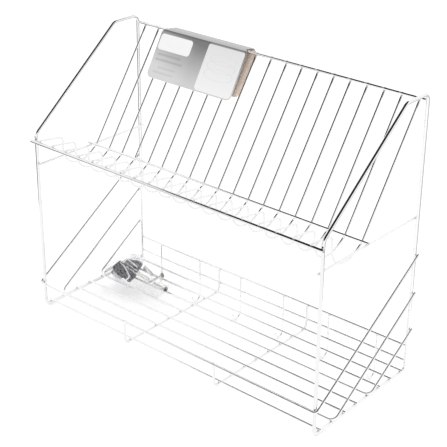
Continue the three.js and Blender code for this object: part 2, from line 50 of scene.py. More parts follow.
# The rack was drawn from its front posts and feet, in millimetres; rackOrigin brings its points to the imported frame
rack = {
    "spacing": 476,          # between the side frames
    "depth": 196,            # front post to rear post
    "top": 383,
    "shoulder": 262.6,
    "slantDepth": 150,
    "rod": 5,
    "topRod": 4,
    "trayWire": 3.5,
    "plateWire": 3,
    "hookWire": 3,
    "gap": 0.3,
    "bends": (8, 12, 10, 8, 8),   # of a side frame, from its front foot up and round
}
half, depth = rack["spacing"] / 2, rack["depth"]
rod, topRod, trayWire = rack["rod"], rack["topRod"], rack["trayWire"]
plateWire, hookWire, gap = rack["plateWire"], rack["hookWire"], rack["gap"]
frameMiddle = (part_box("side_frame_left")[0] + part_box("side_frame_right")[1]) / 2
rackOrigin = Vector((
    frameMiddle.x,
    frameMiddle.y - depth / 2 * mm,
    frameMiddle.z - (rack["top"] + rod / 2) / 2 * mm,
))


def at(x, y, z):
    # a point in millimetres from the middle of the rack, its front posts and its feet
    return rackOrigin + Vector((x, y, z)) * mm


def give(tree, node, values):
    # fills a node's inputs with plain values or with the outputs of other nodes
    for key, value in values.items():
        if isinstance(value, (int, float, tuple)):
            node.inputs[key].default_value = value
        else:
            tree.links.new(value, node.inputs[key])
    return node


def addNode(tree, kind, values=None, **settings):
    node = tree.nodes.new(kind)
    for key, value in settings.items():
        setattr(node, key, value)
    return give(tree, node, values or {})


def newMaterial(name, kind="ShaderNodeBsdfPrincipled"):
    material = bpy.data.materials.new(name)
    material.use_nodes = True
    tree = material.node_tree
    tree.nodes.clear()
    shader = addNode(tree, kind)
    addNode(tree, "ShaderNodeOutputMaterial", {"Surface": shader.outputs[0]})
    return material, tree, shader


def maths(tree, operation, first, second=None, clamp=False):
    values = {0: first} if second is None else {0: first, 1: second}
    return addNode(tree, "ShaderNodeMath", values, operation=operation, use_clamp=clamp).outputs[0]


def plus(tree, first, second, clamp=False):
    return maths(tree, "ADD", first, second, clamp)


def minus(tree, first, second):
    return maths(tree, "SUBTRACT", first, second)


def times(tree, first, second):
    return maths(tree, "MULTIPLY", first, second)


def ramp(tree, factor, low, high, start=0.0, end=1.0):
    # a number that goes from low to high as the factor goes from start to end
    values = {"Value": factor, "From Min": start, "From Max": end, "To Min": low, "To Max": high}
    return addNode(tree, "ShaderNodeMapRange", values).outputs["Result"]


def mix(tree, factor, first, second):
    return addNode(tree, "ShaderNodeMix", {0: factor, 6: first, 7: second}, data_type="RGBA").outputs[2]


def noise(tree, scale, detail, roughness, stretch=None):
    place = addNode(tree, "ShaderNodeTexCoord").outputs["Object"]
    if stretch:
        place = addNode(tree, "ShaderNodeMapping", {"Vector": place, "Scale": stretch}).outputs["Vector"]
    values = {"Vector": place, "Scale": scale, "Detail": detail, "Roughness": roughness}
    return addNode(tree, "ShaderNodeTexNoise", values).outputs["Fac"]


def axes(tree, place=None):
    # the parts of a place: the object's own coordinates, or another node's output
    if place is None:
        place = addNode(tree, "ShaderNodeTexCoord").outputs["Object"]
    return addNode(tree, "ShaderNodeSeparateXYZ", {"Vector": place}).outputs


def bump(tree, shader, height, distance, strength):
    node = addNode(tree, "ShaderNodeBump", {"Height": height, "Distance": distance, "Strength": strength})
    give(tree, shader, {"Normal": node.outputs["Normal"]})


def finish(name, look):
    # what most finishes share: two tones that meet in soft clouds, a roughness and a fine grain
    material, tree, shader = newMaterial(name)
    cloud = noise(tree, *look["cloud"])
    grain = noise(tree, *look["grain"]) if "grain" in look else cloud
    tint = mix(tree, ramp(tree, cloud, 0, 1, *look["blend"]), look["colour"], look["second"])
    rough = ramp(tree, grain if look.get("grainRough") else cloud, *look["rough"])
    give(tree, shader, {"Base Color": tint, "Roughness": rough, **look.get("shader", {})})
    bump(tree, shader, grain, *look["bump"])
    return material, tree, shader, cloud, tint, rough


def addPiece(name, mesh):
    piece = bpy.data.objects.new(name, mesh)
    bpy.context.scene.collection.objects.link(piece)
    return piece


def meshOf(builder, name):
    mesh = bpy.data.meshes.new(name)
    builder.to_mesh(mesh)
    builder.free()
    return mesh


def meshOfPoints(name, points, faces):
    mesh = bpy.data.meshes.new(name)
    mesh.from_pydata(points, [], faces)
    return mesh


def ringFaces(rows, sides, first=0, closed=False):
    # four-sided faces between each ring of points and the next
    faces = []
    for ring in range(rows if closed else rows - 1):
        here, there = first + ring * sides, first + (ring + 1) % rows * sides
        for k in range(sides):
            beside = (k + 1) % sides
            faces.append((here + k, here + beside, there + beside, there + k))
    return faces


# Chrome: a clean bright plating, duller on the tray. The tray's copy is a touch lighter, and the thin wires that
# hardly show get rougher copies that are lighter and barely metallic: painted light. A zone runs along axis 0, 1 or 2
# of the
# rack: before "from" it has its own tone or polish, and past "to" the wire's own; the zones paint light and shade
chromeLook = {
    "shared": {"cloud": (160, 4, 0.6), "blend": (0.3, 0.7), "grain": (900, 2, 0.5), "bump": (0.00004, 0.25)},
    "spots": (420, 3, 0.7), "spotsOver": (0.62, 0.72), "spotsRough": 0.12,
    "kinds": {
        "chromePlating": {
            "colour": (0.965, 0.963, 0.968, 1), "second": (0.9, 0.9, 0.908, 1), "rough": (0.05, 0.13),
            # painted shade: the frame's chrome is darker at the front posts and rail; painted light: lighter and less
            # metallic down by the floor
            "zones": [{"axis": 1, "from": 4, "to": 9, "colour": (0.87, 0.868, 0.873, 1)},
                      {"axis": 2, "from": 4, "to": 14, "colour": (0.98, 0.98, 0.982, 1), "metal": 0.3}]},
        "chromePlatingPlate": {
            "colour": (0.97, 0.968, 0.972, 1), "second": (0.91, 0.91, 0.918, 1), "rough": (0.05, 0.13),
            # painted light: the plate wires are lighter and barely metallic at the front. They are also darker at
            # their rear tips
            "zones": [{"axis": 1, "from": 80, "to": 88, "colour": (0.975, 0.975, 0.977, 1), "metal": 0.18},
                      {"axis": 1, "from": 194, "to": 191, "colour": (0.55, 0.54, 0.54, 1)}]},
        # a touch lighter than the frame's chrome: painted light
        "chromePlatingTray": {
            "colour": (0.975, 0.975, 0.978, 1), "second": (0.93, 0.93, 0.937, 1), "rough": (0.11, 0.19)},
        # rougher, lighter, barely metallic copies of the chrome, the right crossbar and cross wires lighter still:
        # painted light that keeps these wires near white
        "chromePlatingCrossbar": {
            "colour": (0.98, 0.98, 0.982, 1), "second": (0.95, 0.95, 0.955, 1), "rough": (0.3, 0.42), "metal": 0.4},
        "chromePlatingCrossWire": {
            "colour": (0.99, 0.99, 0.992, 1), "second": (0.96, 0.96, 0.965, 1), "rough": (0.35, 0.5), "metal": 0.15},
        # the tray's weld beads are dark
        "darkWeld": {
            "colour": (0.50, 0.49, 0.49, 1), "second": (0.24, 0.235, 0.24, 1), "rough": (0.3, 0.45)},
    },
}


def chromeMaterial(name):
    kind = chromeLook["kinds"][name]
    look = {**chromeLook["shared"], **kind, "shader": {"Metallic": kind.get("metal", 1)}}
    look["rough"] += look["blend"]
    material, tree, shader, _, tint, rough = finish(name, look)
    for zone in kind.get("zones", ()):
        start, end = (at(0, zone[key], zone[key])[zone["axis"]] for key in ("from", "to"))
        share = ramp(tree, axes(tree)[zone["axis"]], 1, 0, start, end)
        if "colour" in zone:
            tint = mix(tree, share, tint, zone["colour"])
        if "metal" in zone:
            give(tree, shader, {"Metallic": ramp(tree, share, 1, zone["metal"])})
    spots = ramp(tree, noise(tree, *chromeLook["spots"]), 0, 1, *chromeLook["spotsOver"])
    rough = plus(tree, rough, times(tree, spots, chromeLook["spotsRough"]))
    give(tree, shader, {"Base Color": tint, "Roughness": rough})
    return material


chromeFrame, chromePlate, chromeTray, chromeCrossbar, chromeCrossWire, darkWeld = map(
    chromeMaterial, chromeLook["kinds"])

# Wires: round bars along straight runs and bends
wireMesh = {
    "sides": 20,
    "endRound": 0.45,   # the rounded edge of a cut end, in millimetres
    "endSteps": 3,
    "step": math.radians(6),
    "sameSpot": 0.01,   # two bends that meet this closely share one ring
    "inSolid": 0.9735,  # keeps the round wire inside the solid's flat sides
    "mostOff": 0.6,     # a wire whose box is further off its solid's than this is named in the output
}
madeWires = []


def bendPoints(before, corner, after, radius, step):
    inward = (before - corner).normalized()
    outward = (after - corner).normalized()
    halfAngle = inward.angle(outward) / 2
    centre = corner + (inward + outward).normalized() * (radius / math.sin(halfAngle))
    arm = (corner + inward * (radius / math.tan(halfAngle)) - centre).normalized()
    heading = -inward
    turn = math.pi - 2 * halfAngle
    count = max(2, math.ceil(turn / step))
    stations = []
    for index in range(count + 1):
        angle = turn * index / count
        stations.append((
            centre + arm * (radius * math.cos(angle)) + heading * (radius * math.sin(angle)),
            (heading * math.cos(angle) - arm * math.sin(angle)).normalized(),
        ))
    return stations


def wireLine(corners, step, closed=False):
    # places and headings along a bent wire; a corner is (point, bend radius in millimetres)
    count = len(corners)
    stations = []
    for index, (place, radius) in enumerate(corners):
        before = corners[index - 1][0]
        after = corners[(index + 1) % count][0]
        if closed or 0 < index < count - 1:
            bend = bendPoints(before, place, after, radius * mm, step)
            meets = stations and (bend[0][0] - stations[-1][0]).length < wireMesh["sameSpot"] * mm
            stations += bend[1:] if meets else bend
        else:
            heading = after - place if index == 0 else place - before
            stations.append((place.copy(), heading.normalized()))
    return stations


def roundEnds(rings, stations, radius):
    # a cut end keeps a flat face with a rounded edge
    edge, steps = wireMesh["endRound"] * mm, wireMesh["endSteps"]
    angles = [math.pi / 2 * index / steps for index in range(steps + 1)]
    insets = [(edge * (1 - math.sin(angle)), radius - edge * (1 - math.cos(angle))) for angle in angles]
    first, last = ([(place + heading * back, across, up, size) for back, size in insets]
                   for (place, across, up, _), heading in ((rings[0], stations[0][1]), (rings[-1], -stations[-1][1])))
    return first[::-1] + rings[1:-1] + last


def tube(name, corners, diameter, closed):
    stations = wireLine(corners, wireMesh["step"], closed)
    sides = wireMesh["sides"]
    radius = diameter / 2 * mm * wireMesh["inSolid"]
    last = stations[0][1]
    alongRack = abs(last.x) > 0.9
    side = last.orthogonal().normalized() if alongRack else (xAxis - last * last.x).normalized()
    rings = []
    for place, heading in stations:
        side = last.rotation_difference(heading) @ side
        side = (side - heading * side.dot(heading)).normalized()
        rings.append((place, side.copy(), heading.cross(side), radius))
        last = heading
    if not closed:
        rings = roundEnds(rings, stations, radius)
    turns = [2 * math.pi * (index + 0.5) / sides for index in range(sides)]
    points = [place + across * (size * math.cos(turn)) + up * (size * math.sin(turn))
              for place, across, up, size in rings for turn in turns]
    faces = ringFaces(len(rings), sides, closed=closed)
    if not closed:
        faces += [tuple(reversed(range(sides))), tuple(range(len(points) - sides, len(points)))]
    mesh = meshOfPoints(name, points, faces)
    mesh.shade_smooth()
    return addPiece(name, mesh)


def wirePiece(node, corners, diameter, material, closed=False):
    piece = tube(node + "_wire", corners, diameter, closed)
    piece.data.materials.append(material)
    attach(piece, "root")
    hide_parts(node)
    madeWires.append((node, piece))


def longWire(node, length, y, z, diameter, material):
    wirePiece(node, [(at(-length / 2, y, z), 0), (at(length / 2, y, z), 0)], diameter, material)


# Weld spots: each one is a small bead between two crossing wires
weldLook = {
    "across": 2.3, "along": 2.9, "height": 1.25, "around": 12, "up": 8,
    "kinds": {  # the piece that a weld belongs to, and its size
        "crossbar": ("frameWelds", 1.1), "frontRail": ("frameWelds", 1.3), "rearRail": ("frameWelds", 1.2),
        "plateRail": ("frameWelds", 1.0), "guard": ("frameWelds", 1.0), "lip": ("plateWelds", 0.95),
        "knee": ("plateWelds", 0.9), "back": ("plateWelds", 0.9), "foot": ("trayWelds", 1.05),
        "crossing": ("trayWelds", 0.95), "hook": ("hookWelds", 0.9),
    },
    "materials": {"plateWelds": chromeFrame, "frameWelds": chromeFrame, "trayWelds": darkWeld,
                  "hookWelds": chromeTray},
}
weldPlaces = {name: [] for name in weldLook["materials"]}


def weld(kind, place, toOther, along):
    name, scale = weldLook["kinds"][kind]
    weldPlaces[name].append((place, toOther.normalized(), along.normalized(), scale))


def weldPiece(name, places, material):
    builder = bmesh.new()
    for place, toOther, along, scale in places:
        turn = Matrix((toOther.cross(along).normalized(), along, toOther)).transposed().to_4x4()
        size = Matrix.Diagonal([weldLook[key] / 2 * scale * mm for key in ("across", "along", "height")] + [1])
        bmesh.ops.create_uvsphere(
            builder, u_segments=weldLook["around"], v_segments=weldLook["up"], radius=1,
            matrix=Matrix.Translation(place) @ turn @ size,
        )
    mesh = meshOf(builder, name)
    mesh.shade_smooth()
    mesh.materials.append(material)
    piece = addPiece(name, mesh)
    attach(piece, "root")


# Side frames
footHeight = rod / 2
frameCorners = [(0, footHeight), (0, rack["shoulder"]), (rack["slantDepth"], rack["top"]), (depth, rack["top"]),
                (depth, footHeight)]
for node, x in (("side_frame_left", -half), ("side_frame_right", half)):
    corners = [(at(x, *corner), bend) for corner, bend in zip(frameCorners, rack["bends"])]
    wirePiece(node, corners, rod, chromeFrame, closed=True)

# Long rails and the two crossbars
rails = {
    "frontHeight": 253, "frontOverhang": 4.5, "topHeight": 374, "shelfHeight": 220,
    "crossbarOverhang": 3, "plateOverhang": 3.5, "rearHeight": 38, "lowRearHeight": 15.8,
}
sideOffset = rod / 2 + trayWire / 2 + gap
frontDepth = -(rod + gap)
betweenPosts = rack["spacing"] - rod - 2 * gap
plateRailHeight = rails["shelfHeight"] + trayWire + gap
rearHeights = (rails["rearHeight"], rails["lowRearHeight"])

longWire("upper_front_rail", rack["spacing"] + 2 * rails["frontOverhang"], frontDepth, rails["frontHeight"], rod,
         chromeFrame)
longWire("top_rear_rail", betweenPosts, depth, rails["topHeight"], topRod, chromeFrame)
for node, height in zip(("rear_rail", "low_rear_rail"), rearHeights):
    longWire(node, betweenPosts, depth, height, trayWire, chromeTray)
crossbars = (("shelf_crossbar_left", -1, chromeCrossbar), ("shelf_crossbar_right", 1, chromeCrossWire))
for node, side, material in crossbars:
    x = side * (half - sideOffset)
    ends = (-rails["crossbarOverhang"], depth + rails["crossbarOverhang"])
    wirePiece(node, [(at(x, y, rails["shelfHeight"]), 0) for y in ends], trayWire, material)
    for y in (0, depth):
        weld("crossbar", at(side * (half - rod / 2), y, rails["shelfHeight"]), xAxis, yAxis)
for side in (-1, 1):
    weld("frontRail", at(side * half, -rod / 2, rails["frontHeight"]), yAxis, xAxis)
    for height in (rails["topHeight"], *rearHeights):
        weld("rearRail", at(side * (half - rod / 2), depth, height), xAxis, zAxis)

# Plate wires: a lip on the front rail, a riser, a curved seat and a slanted back
plates = {
    "count": 19, "pitch": 25, "lipOverhang": 1.2, "lipAngle": math.radians(9), "riserDepth": 35,
    "seatHeight": 208, "seatDepth": 74, "kneeDepth": 95.5, "tipOverhang": 3,
    "lipRadius": 7, "seatFrontRadius": 26.5, "seatRearRadius": 20, "kneeRadius": 9, "rounds": 6,
}


def platePath():
    # the same fit as the solids have: the knee bears on its rail and the back touches the top rail
    kneeDepth = plates["kneeDepth"]
    lipReach = (rod / 2 + plateWire / 2 + gap) / math.cos(plates["lipAngle"])
    lipFall = math.tan(plates["lipAngle"])
    tip = (frontDepth - plates["lipOverhang"], rails["frontHeight"] + lipReach + plates["lipOverhang"] * lipFall)
    lipCorner = (plates["riserDepth"], tip[1] - (plates["riserDepth"] - tip[0]) * lipFall)
    railReach = plateWire / 2 + trayWire / 2 + 2 * gap
    kneeHeight = plateRailHeight - railReach
    for _ in range(plates["rounds"]):
        toRail = (depth - kneeDepth, rails["topHeight"] - kneeHeight)
        lean = math.asin((topRod / 2 + plateWire / 2 + gap) / math.hypot(*toRail))
        backAngle = math.atan2(toRail[1], toRail[0]) - lean
        seatAngle = math.atan2(kneeHeight - plates["seatHeight"], kneeDepth - plates["seatDepth"])
        middle = (backAngle + seatAngle) / 2
        reach = railReach / math.cos((backAngle - seatAngle) / 2)
        rail = (kneeDepth - math.sin(middle) * reach, kneeHeight + math.cos(middle) * reach)
        kneeHeight += plateRailHeight - rail[1]
    back = (math.cos(backAngle), math.sin(backAngle))
    backLength = (depth - kneeDepth) * back[0] + (rails["topHeight"] - kneeHeight) * back[1]
    return {"tip": tip, "lipCorner": lipCorner, "knee": (kneeDepth, kneeHeight), "rail": rail,
            "back": back, "backLength": backLength, "middle": middle}


plate = platePath()
longWire("plate_rear_rail", rack["spacing"] - 2 * (sideOffset - rails["plateOverhang"]), plate["rail"][0],
         plateRailHeight, trayWire, chromeTray)
for side in (-1, 1):
    weld("plateRail", at(side * (half - sideOffset), plate["rail"][0], rails["shelfHeight"] + trayWire / 2),
         zAxis, xAxis)
backVector = Vector((0, plate["back"][0], plate["back"][1]))
backNormal = Vector((0, plate["back"][1], -plate["back"][0]))
kneeNormal = Vector((0, -math.sin(plate["middle"]), math.cos(plate["middle"])))
backReach = plate["backLength"] + plates["tipOverhang"]
for index in range(plates["count"]):
    x = (index - (plates["count"] - 1) / 2) * plates["pitch"]
    wirePiece(f"plate_wire_{index + 1:02d}", [
        (at(x, *plate["tip"]), 0), (at(x, *plate["lipCorner"]), plates["lipRadius"]),
        (at(x, plates["riserDepth"], plates["seatHeight"]), plates["seatFrontRadius"]),
        (at(x, plates["seatDepth"], plates["seatHeight"]), plates["seatRearRadius"]),
        (at(x, *plate["knee"]), plates["kneeRadius"]),
        (at(x, *plate["knee"]) + backVector * (backReach * mm), 0),
    ], plateWire, chromePlate)
    weld("lip", at(x, frontDepth, rails["frontHeight"] + rod / 2), zAxis, yAxis)
    weld("knee", at(x, plate["rail"][0], plateRailHeight) - kneeNormal * (trayWire / 2 * mm), kneeNormal, xAxis)
    weld("back", at(x, depth, rails["topHeight"]) - backNormal * (topRod / 2 * mm), backNormal, xAxis)

# Guards: across the tray and up on both sides to the rear posts
trayHeight = rod + trayWire / 2 + gap
guards = {
    "front_guard": {"y": -sideOffset, "z": 38, "rear": 172, "radius": sideOffset},
    "middle_guard": {"y": 34, "z": trayHeight, "rear": 118, "radius": 9},
    "low_guard": {"y": 109, "z": trayHeight, "rear": 65, "radius": 9},
}
guardOverhang = 2
guardRear = depth + guardOverhang
for node, size in guards.items():
    x = half + sideOffset
    wirePiece(node, [
        (at(-x, guardRear, size["rear"]), 0), (at(-x, size["y"], size["z"]), size["radius"]),
        (at(x, size["y"], size["z"]), size["radius"]), (at(x, guardRear, size["rear"]), 0),
    ], trayWire, chromeTray)
    slope = (size["rear"] - size["z"]) / (guardRear - size["y"])
    for side in (-1, 1):
        weld("guard", at(side * (half + rod / 2), depth, size["rear"] - slope * guardOverhang), xAxis,
             Vector((0, 1, slope)))
        if node == "front_guard":
            weld("guard", at(side * half, -rod / 2, size["z"]), yAxis, xAxis)

# Tray wires along the rack, and the two cross wires under them
tray = {
    "pitch": 25, "first": 9, "overhang": 4, "crossShare": 1 / 6, "crossRadius": 8, "crossOverhang": 1,
    "names": ["tray_wire_1", "middle_guard", "tray_wire_2", "tray_wire_3", "low_guard", "tray_wire_4",
              "tray_wire_5", "tray_wire_6"],
}
crossHeight = trayHeight - trayWire - gap
crossPlaces = [side * rack["spacing"] * tray["crossShare"] for side in (-1, 1)]
for index, node in enumerate(tray["names"]):
    y = tray["first"] + index * tray["pitch"]
    if node not in guards:
        longWire(node, rack["spacing"] + 2 * tray["overhang"], y, trayHeight, trayWire, chromeTray)
    for x in (-half, half):
        weld("foot", at(x, y, rod + gap / 2), zAxis, yAxis)
    for x in crossPlaces:
        weld("crossing", at(x, y, trayHeight - trayWire / 2 - gap / 2), zAxis, yAxis)
for node, x in zip(("cross_wire_left", "cross_wire_right"), crossPlaces):
    front, rear = trayWire + gap - sideOffset, depth - trayWire - gap
    wirePiece(node, [
        (at(x, front, guards["front_guard"]["z"] + tray["crossOverhang"]), 0),
        (at(x, front, crossHeight), tray["crossRadius"]), (at(x, rear, crossHeight), tray["crossRadius"]),
        (at(x, rear, rails["rearHeight"] + tray["crossOverhang"]), 0),
    ], trayWire, chromeCrossWire)
    weld("crossing", at(x, front - trayWire / 2 - gap / 2, guards["front_guard"]["z"]), yAxis, xAxis)
    for height in rearHeights:
        weld("crossing", at(x, rear + trayWire / 2 + gap / 2, height), yAxis, xAxis)

# Hooks
hooks = {"count": 6, "pitch": 77.76, "overhang": 1.5, "radius": 8.25, "drop": 23, "tipRise": 0.75}
shankDepth = depth - trayWire / 2 - hookWire / 2 - gap
tipDepth = shankDepth - 2 * hooks["radius"]
for index in range(hooks["count"]):
    x = (index - (hooks["count"] - 1) / 2) * hooks["pitch"]
    wirePiece(f"hook_{index + 1}", [
        (at(x, shankDepth, rails["rearHeight"] + hooks["overhang"]), 0),
        (at(x, shankDepth, -hooks["drop"]), hooks["radius"]), (at(x, tipDepth, -hooks["drop"]), hooks["radius"]),
        (at(x, tipDepth, hooks["radius"] + hooks["tipRise"] - hooks["drop"]), 0),
    ], hookWire, chromeTray)
    for height in rearHeights:
        weld("hook", at(x, shankDepth + hookWire / 2 + gap / 2, height), yAxis, xAxis)

for name, places in weldPlaces.items():
    weldPiece(name, places, weldLook["materials"][name])
print("wires made:", len(madeWires), "and welds:", sum(len(places) for places in weldPlaces.values()))


def stepOffSolid(node, piece):
    # how far the wire's box is off its solid's box, in millimetres
    low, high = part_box(node)
    points = np.array([v.co for v in piece.data.vertices])
    return max(np.abs(points.min(0) - np.array(low)).max(), np.abs(points.max(0) - np.array(high)).max()) / mm


steps = {node: stepOffSolid(node, piece) for node, piece in madeWires}
for node, step in steps.items():
    if step > wireMesh["mostOff"]:
        print("off its solid:", node, round(step, 2), "mm")
print("largest step off a solid's box:", round(max(steps.values()), 3), "mm")

# Header card: a thin sheet folded over the top rail, printed outside and bare board inside
card = {
    "width": 151.5, "fromFrame": 127.25, "panel": 70, "thickness": 0.5, "clearOf": 1.0, "corner": 8,
    "insetLeft": 10, "insetRight": 4, "skew": 7.5, "foldRadius": 1.6, "loose": 0.5, "foldStep": math.radians(9),
    "columns": 48, "rowStep": 2.5, "cornerRows": 10, "sameRow": 1e-6, "sharpAngle": math.radians(50),
}
printUnit = 100   # millimetres of card in one unit of the map that the print follows


def cardStations():
    knee = Vector((0, *plate["knee"]))
    skin = card["clearOf"] / 2 + gap
    nearWire = plateWire / 2 + skin
    overRail = plateWire / 2 + topRod + gap + skin + card["loose"]
    bandHeight = rails["topHeight"] + topRod / 2 + skin + card["loose"]

    def onBack(along, off):
        return knee + backVector * along - backNormal * off

    def foldAt(off):
        fold = onBack(plate["backLength"], off)
        return fold + backVector * ((bandHeight - fold.z) / backVector.z)

    frontFold, rearFold = foldAt(overRail), foldAt(-nearWire)
    frontEdge = onBack(plate["backLength"] - card["panel"], nearWire)
    rearEdge = rearFold - backVector * card["panel"]
    return wireLine([
        (frontEdge * mm, 0), (frontFold * mm, card["foldRadius"]), (rearFold * mm, card["foldRadius"]),
        (rearEdge * mm, 0),
    ], card["foldStep"])


def cornerInset(distance, inset):
    rest = max(0.0, card["corner"] - distance) / card["corner"]
    return inset * (1 - math.sqrt(max(0.0, 1 - rest * rest)))


def cardRows(stations):
    # where the rows of the mesh lie, in millimetres up the front panel, over the fold and down behind
    stops = [0.0]
    for before, after in zip(stations, stations[1:]):
        stops.append(stops[-1] + (after[0] - before[0]).length / mm)
    total, bandStart, bandEnd = stops[-1], stops[1], stops[-2]
    corner = card["corner"]
    rows = {0.0, total, *stops[1:-1]}
    for index in range(card["cornerRows"]):
        step = corner * (1 - math.cos(math.pi / 2 * (index + 1) / card["cornerRows"]))
        rows |= {step, bandStart - step, bandEnd + step, total - step}
    reach = card["rowStep"]
    while reach < bandStart - corner:
        if reach > corner:
            rows |= {reach, total - reach}
        reach += card["rowStep"]
    return sorted(rows), stops, total, bandStart, bandEnd


def headerCard():
    stations = cardStations()
    rows, stops, total, bandStart, bandEnd = cardRows(stations)
    columns = card["columns"]
    builder = bmesh.new()
    uv = builder.loops.layers.uv.new("print")
    outer, inner, marks = [], [], {}
    for row in rows:
        index = max(1, next(k for k, stop in enumerate(stops) if stop >= row - card["sameRow"]))
        share = (row - stops[index - 1]) / (stops[index] - stops[index - 1])
        place, heading = (stations[index - 1][k].lerp(stations[index][k], share) for k in (0, 1))
        heading.normalize()
        outward = Vector((0, -heading.z, heading.y))
        edge = cornerInset(min(row, total - row), card["corner"])
        beyond = max(0.0, bandStart - row, row - bandEnd)
        left = edge + cornerInset(beyond, card["insetLeft"])
        right = card["width"] - edge - cornerInset(beyond, card["insetRight"])
        skew = card["skew"] * min(1.0, max(0.0, (row - bandStart) / (bandEnd - bandStart)))
        start = card["fromFrame"] - half + skew - card["width"] / 2
        outer.append([])
        inner.append([])
        for column in range(columns + 1):
            along = left + (right - left) * column / columns
            point = rackOrigin + place + Vector((start + along, 0, 0)) * mm
            for side, line in ((1, outer[-1]), (-1, inner[-1])):
                vertex = builder.verts.new(point + outward * (side * card["thickness"] / 2 * mm))
                marks[vertex] = (along / printUnit, row / printUnit)
                line.append(vertex)

    def face(corners, slot):
        made = builder.faces.new(corners)
        made.material_index = slot
        made.smooth = True
        for loop in made.loops:
            loop[uv].uv = marks[loop.vert]

    def rim(first, second, flip):
        (a, b), (c, d) = first, second
        corners = [outer[a][b], outer[c][d], inner[c][d], inner[a][b]]
        face(corners[::-1] if flip else corners, 2)

    last = len(rows) - 1
    for row in range(last):
        for column in range(columns):
            quad = ((row, column), (row, column + 1), (row + 1, column + 1), (row + 1, column))
            face([outer[r][c] for r, c in quad], 0)
            face([inner[r][c] for r, c in reversed(quad)], 1)
        for column, flip in ((0, False), (columns, True)):
            rim((row, column), (row + 1, column), flip)
    for row, flip in ((0, True), (last, False)):
        for column in range(columns):
            rim((row, column), (row, column + 1), flip)
    bmesh.ops.recalc_face_normals(builder, faces=builder.faces)
    mesh = meshOf(builder, "foldedCard")
    piece = addPiece("foldedCard", mesh)
    for material in (printedMaterial(), boardMaterial("bareBoard"), boardMaterial("boardEdge", boardLook["edgeTone"])):
        mesh.materials.append(material)
    mesh.set_sharp_from_angle(angle=card["sharpAngle"])
    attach(piece, "root")
    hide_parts("header_card")
    print("card made:", len(mesh.polygons), "faces, length along the fold", round(total, 1), "mm")


# The print, in millimetres from the card's left end and from its lower front edge: plain fields, bars and rings
cardPrint = {
    "light": (0.70, 0.695, 0.695, 1), "dark": (0.19, 0.185, 0.19, 1),
    "darkensUp": (0, 1, 6, 68), "lightensLeft": (-0.25, 0.1, 0, 70), "mottle": (60, 4, 0.6), "mottleTone": 0.05,
    "label": {"x": 31.2, "y": 52, "halfWidth": 29.2, "halfHeight": 11.5, "round": 5,
              "colour": (0.93, 0.93, 0.935, 1)},
    "field": {"x": 118.3, "y": 35, "halfWidth": 31.7, "halfHeight": 33.5, "round": 6,
              "colour": (0.77, 0.77, 0.775, 1), "low": (0.91, 0.91, 0.915, 1), "over": (5, 66)},
    "bars": [{"x": 28, "y": 34.5, "halfWidth": 22, "tone": 0.4}, {"x": 30, "y": 27, "halfWidth": 25, "tone": 0.4},
             {"x": 30, "y": 16.5, "halfWidth": 17, "tone": 0.2}, {"x": 27, "y": 9.5, "halfWidth": 19, "tone": 0.2}],
    "barShape": {"halfHeight": 2.0, "round": 1.8}, "barColour": (0.30, 0.285, 0.29, 1),
    "rings": [{"x": 119, "y": 49, "wide": 22, "high": 7}, {"x": 119, "y": 39, "wide": 24, "high": 8},
              {"x": 119, "y": 28, "wide": 24, "high": 8}],
    "ringColour": (0.70, 0.705, 0.715, 1), "ringWidth": 0.045, "ringTone": 0.5,
    "band": {"from": 69.0, "soft": 0.4, "colour": (0.54, 0.535, 0.535, 1)},   # up the front panel, at the fold
    "crease": {"at": 67.6, "width": (0.8, 1.6), "tone": 0.8, "colour": (0.13, 0.125, 0.13, 1)},
    "rough": (0.38, 0.5), "grain": (1400, 3, 0.6), "bump": (0.00004, 0.3),
    "shader": {"Coat Weight": 0.15, "Coat Roughness": 0.3},
}
boardLook = {
    "colour": (0.70, 0.60, 0.53, 1), "second": (0.90, 0.79, 0.70, 1), "edgeTone": 1.25,
    "cloud": (700, 5, 0.65, (0.35, 1, 1)), "blend": (0.35, 0.65), "rough": (0.78, 0.95), "bump": (0.0001, 0.4),
    "shader": {"Specular IOR Level": 0.25}, "stripes": 170, "stripeTone": 0.5,
    "flecks": (1600, 2, 0.7), "flecksOver": (0.6, 0.75), "fleckTone": 0.12, "fleckColour": (0.3, 0.25, 0.21, 1),
}


def fieldMask(tree, x, y, size, softness=0.5):
    # 1 inside a rectangle with rounded corners
    squares = []
    for place, middle, reach in ((x, size["x"], size["halfWidth"]), (y, size["y"], size["halfHeight"])):
        away = maths(tree, "ABSOLUTE", minus(tree, place, middle))
        off = maths(tree, "MAXIMUM", minus(tree, away, reach - size["round"]), 0.0)
        squares.append(times(tree, off, off))
    return ramp(tree, maths(tree, "SQRT", plus(tree, *squares)), 1, 0, size["round"] - softness, size["round"])


def ringMask(tree, x, y, size):
    squares = []
    for place, middle, reach in ((x, size["x"], size["wide"]), (y, size["y"], size["high"])):
        off = maths(tree, "DIVIDE", minus(tree, place, middle), reach)
        squares.append(times(tree, off, off))
    off = maths(tree, "ABSOLUTE", minus(tree, maths(tree, "SQRT", plus(tree, *squares)), 1.0))
    return ramp(tree, off, 1, 0, cardPrint["ringWidth"] / 2, cardPrint["ringWidth"])


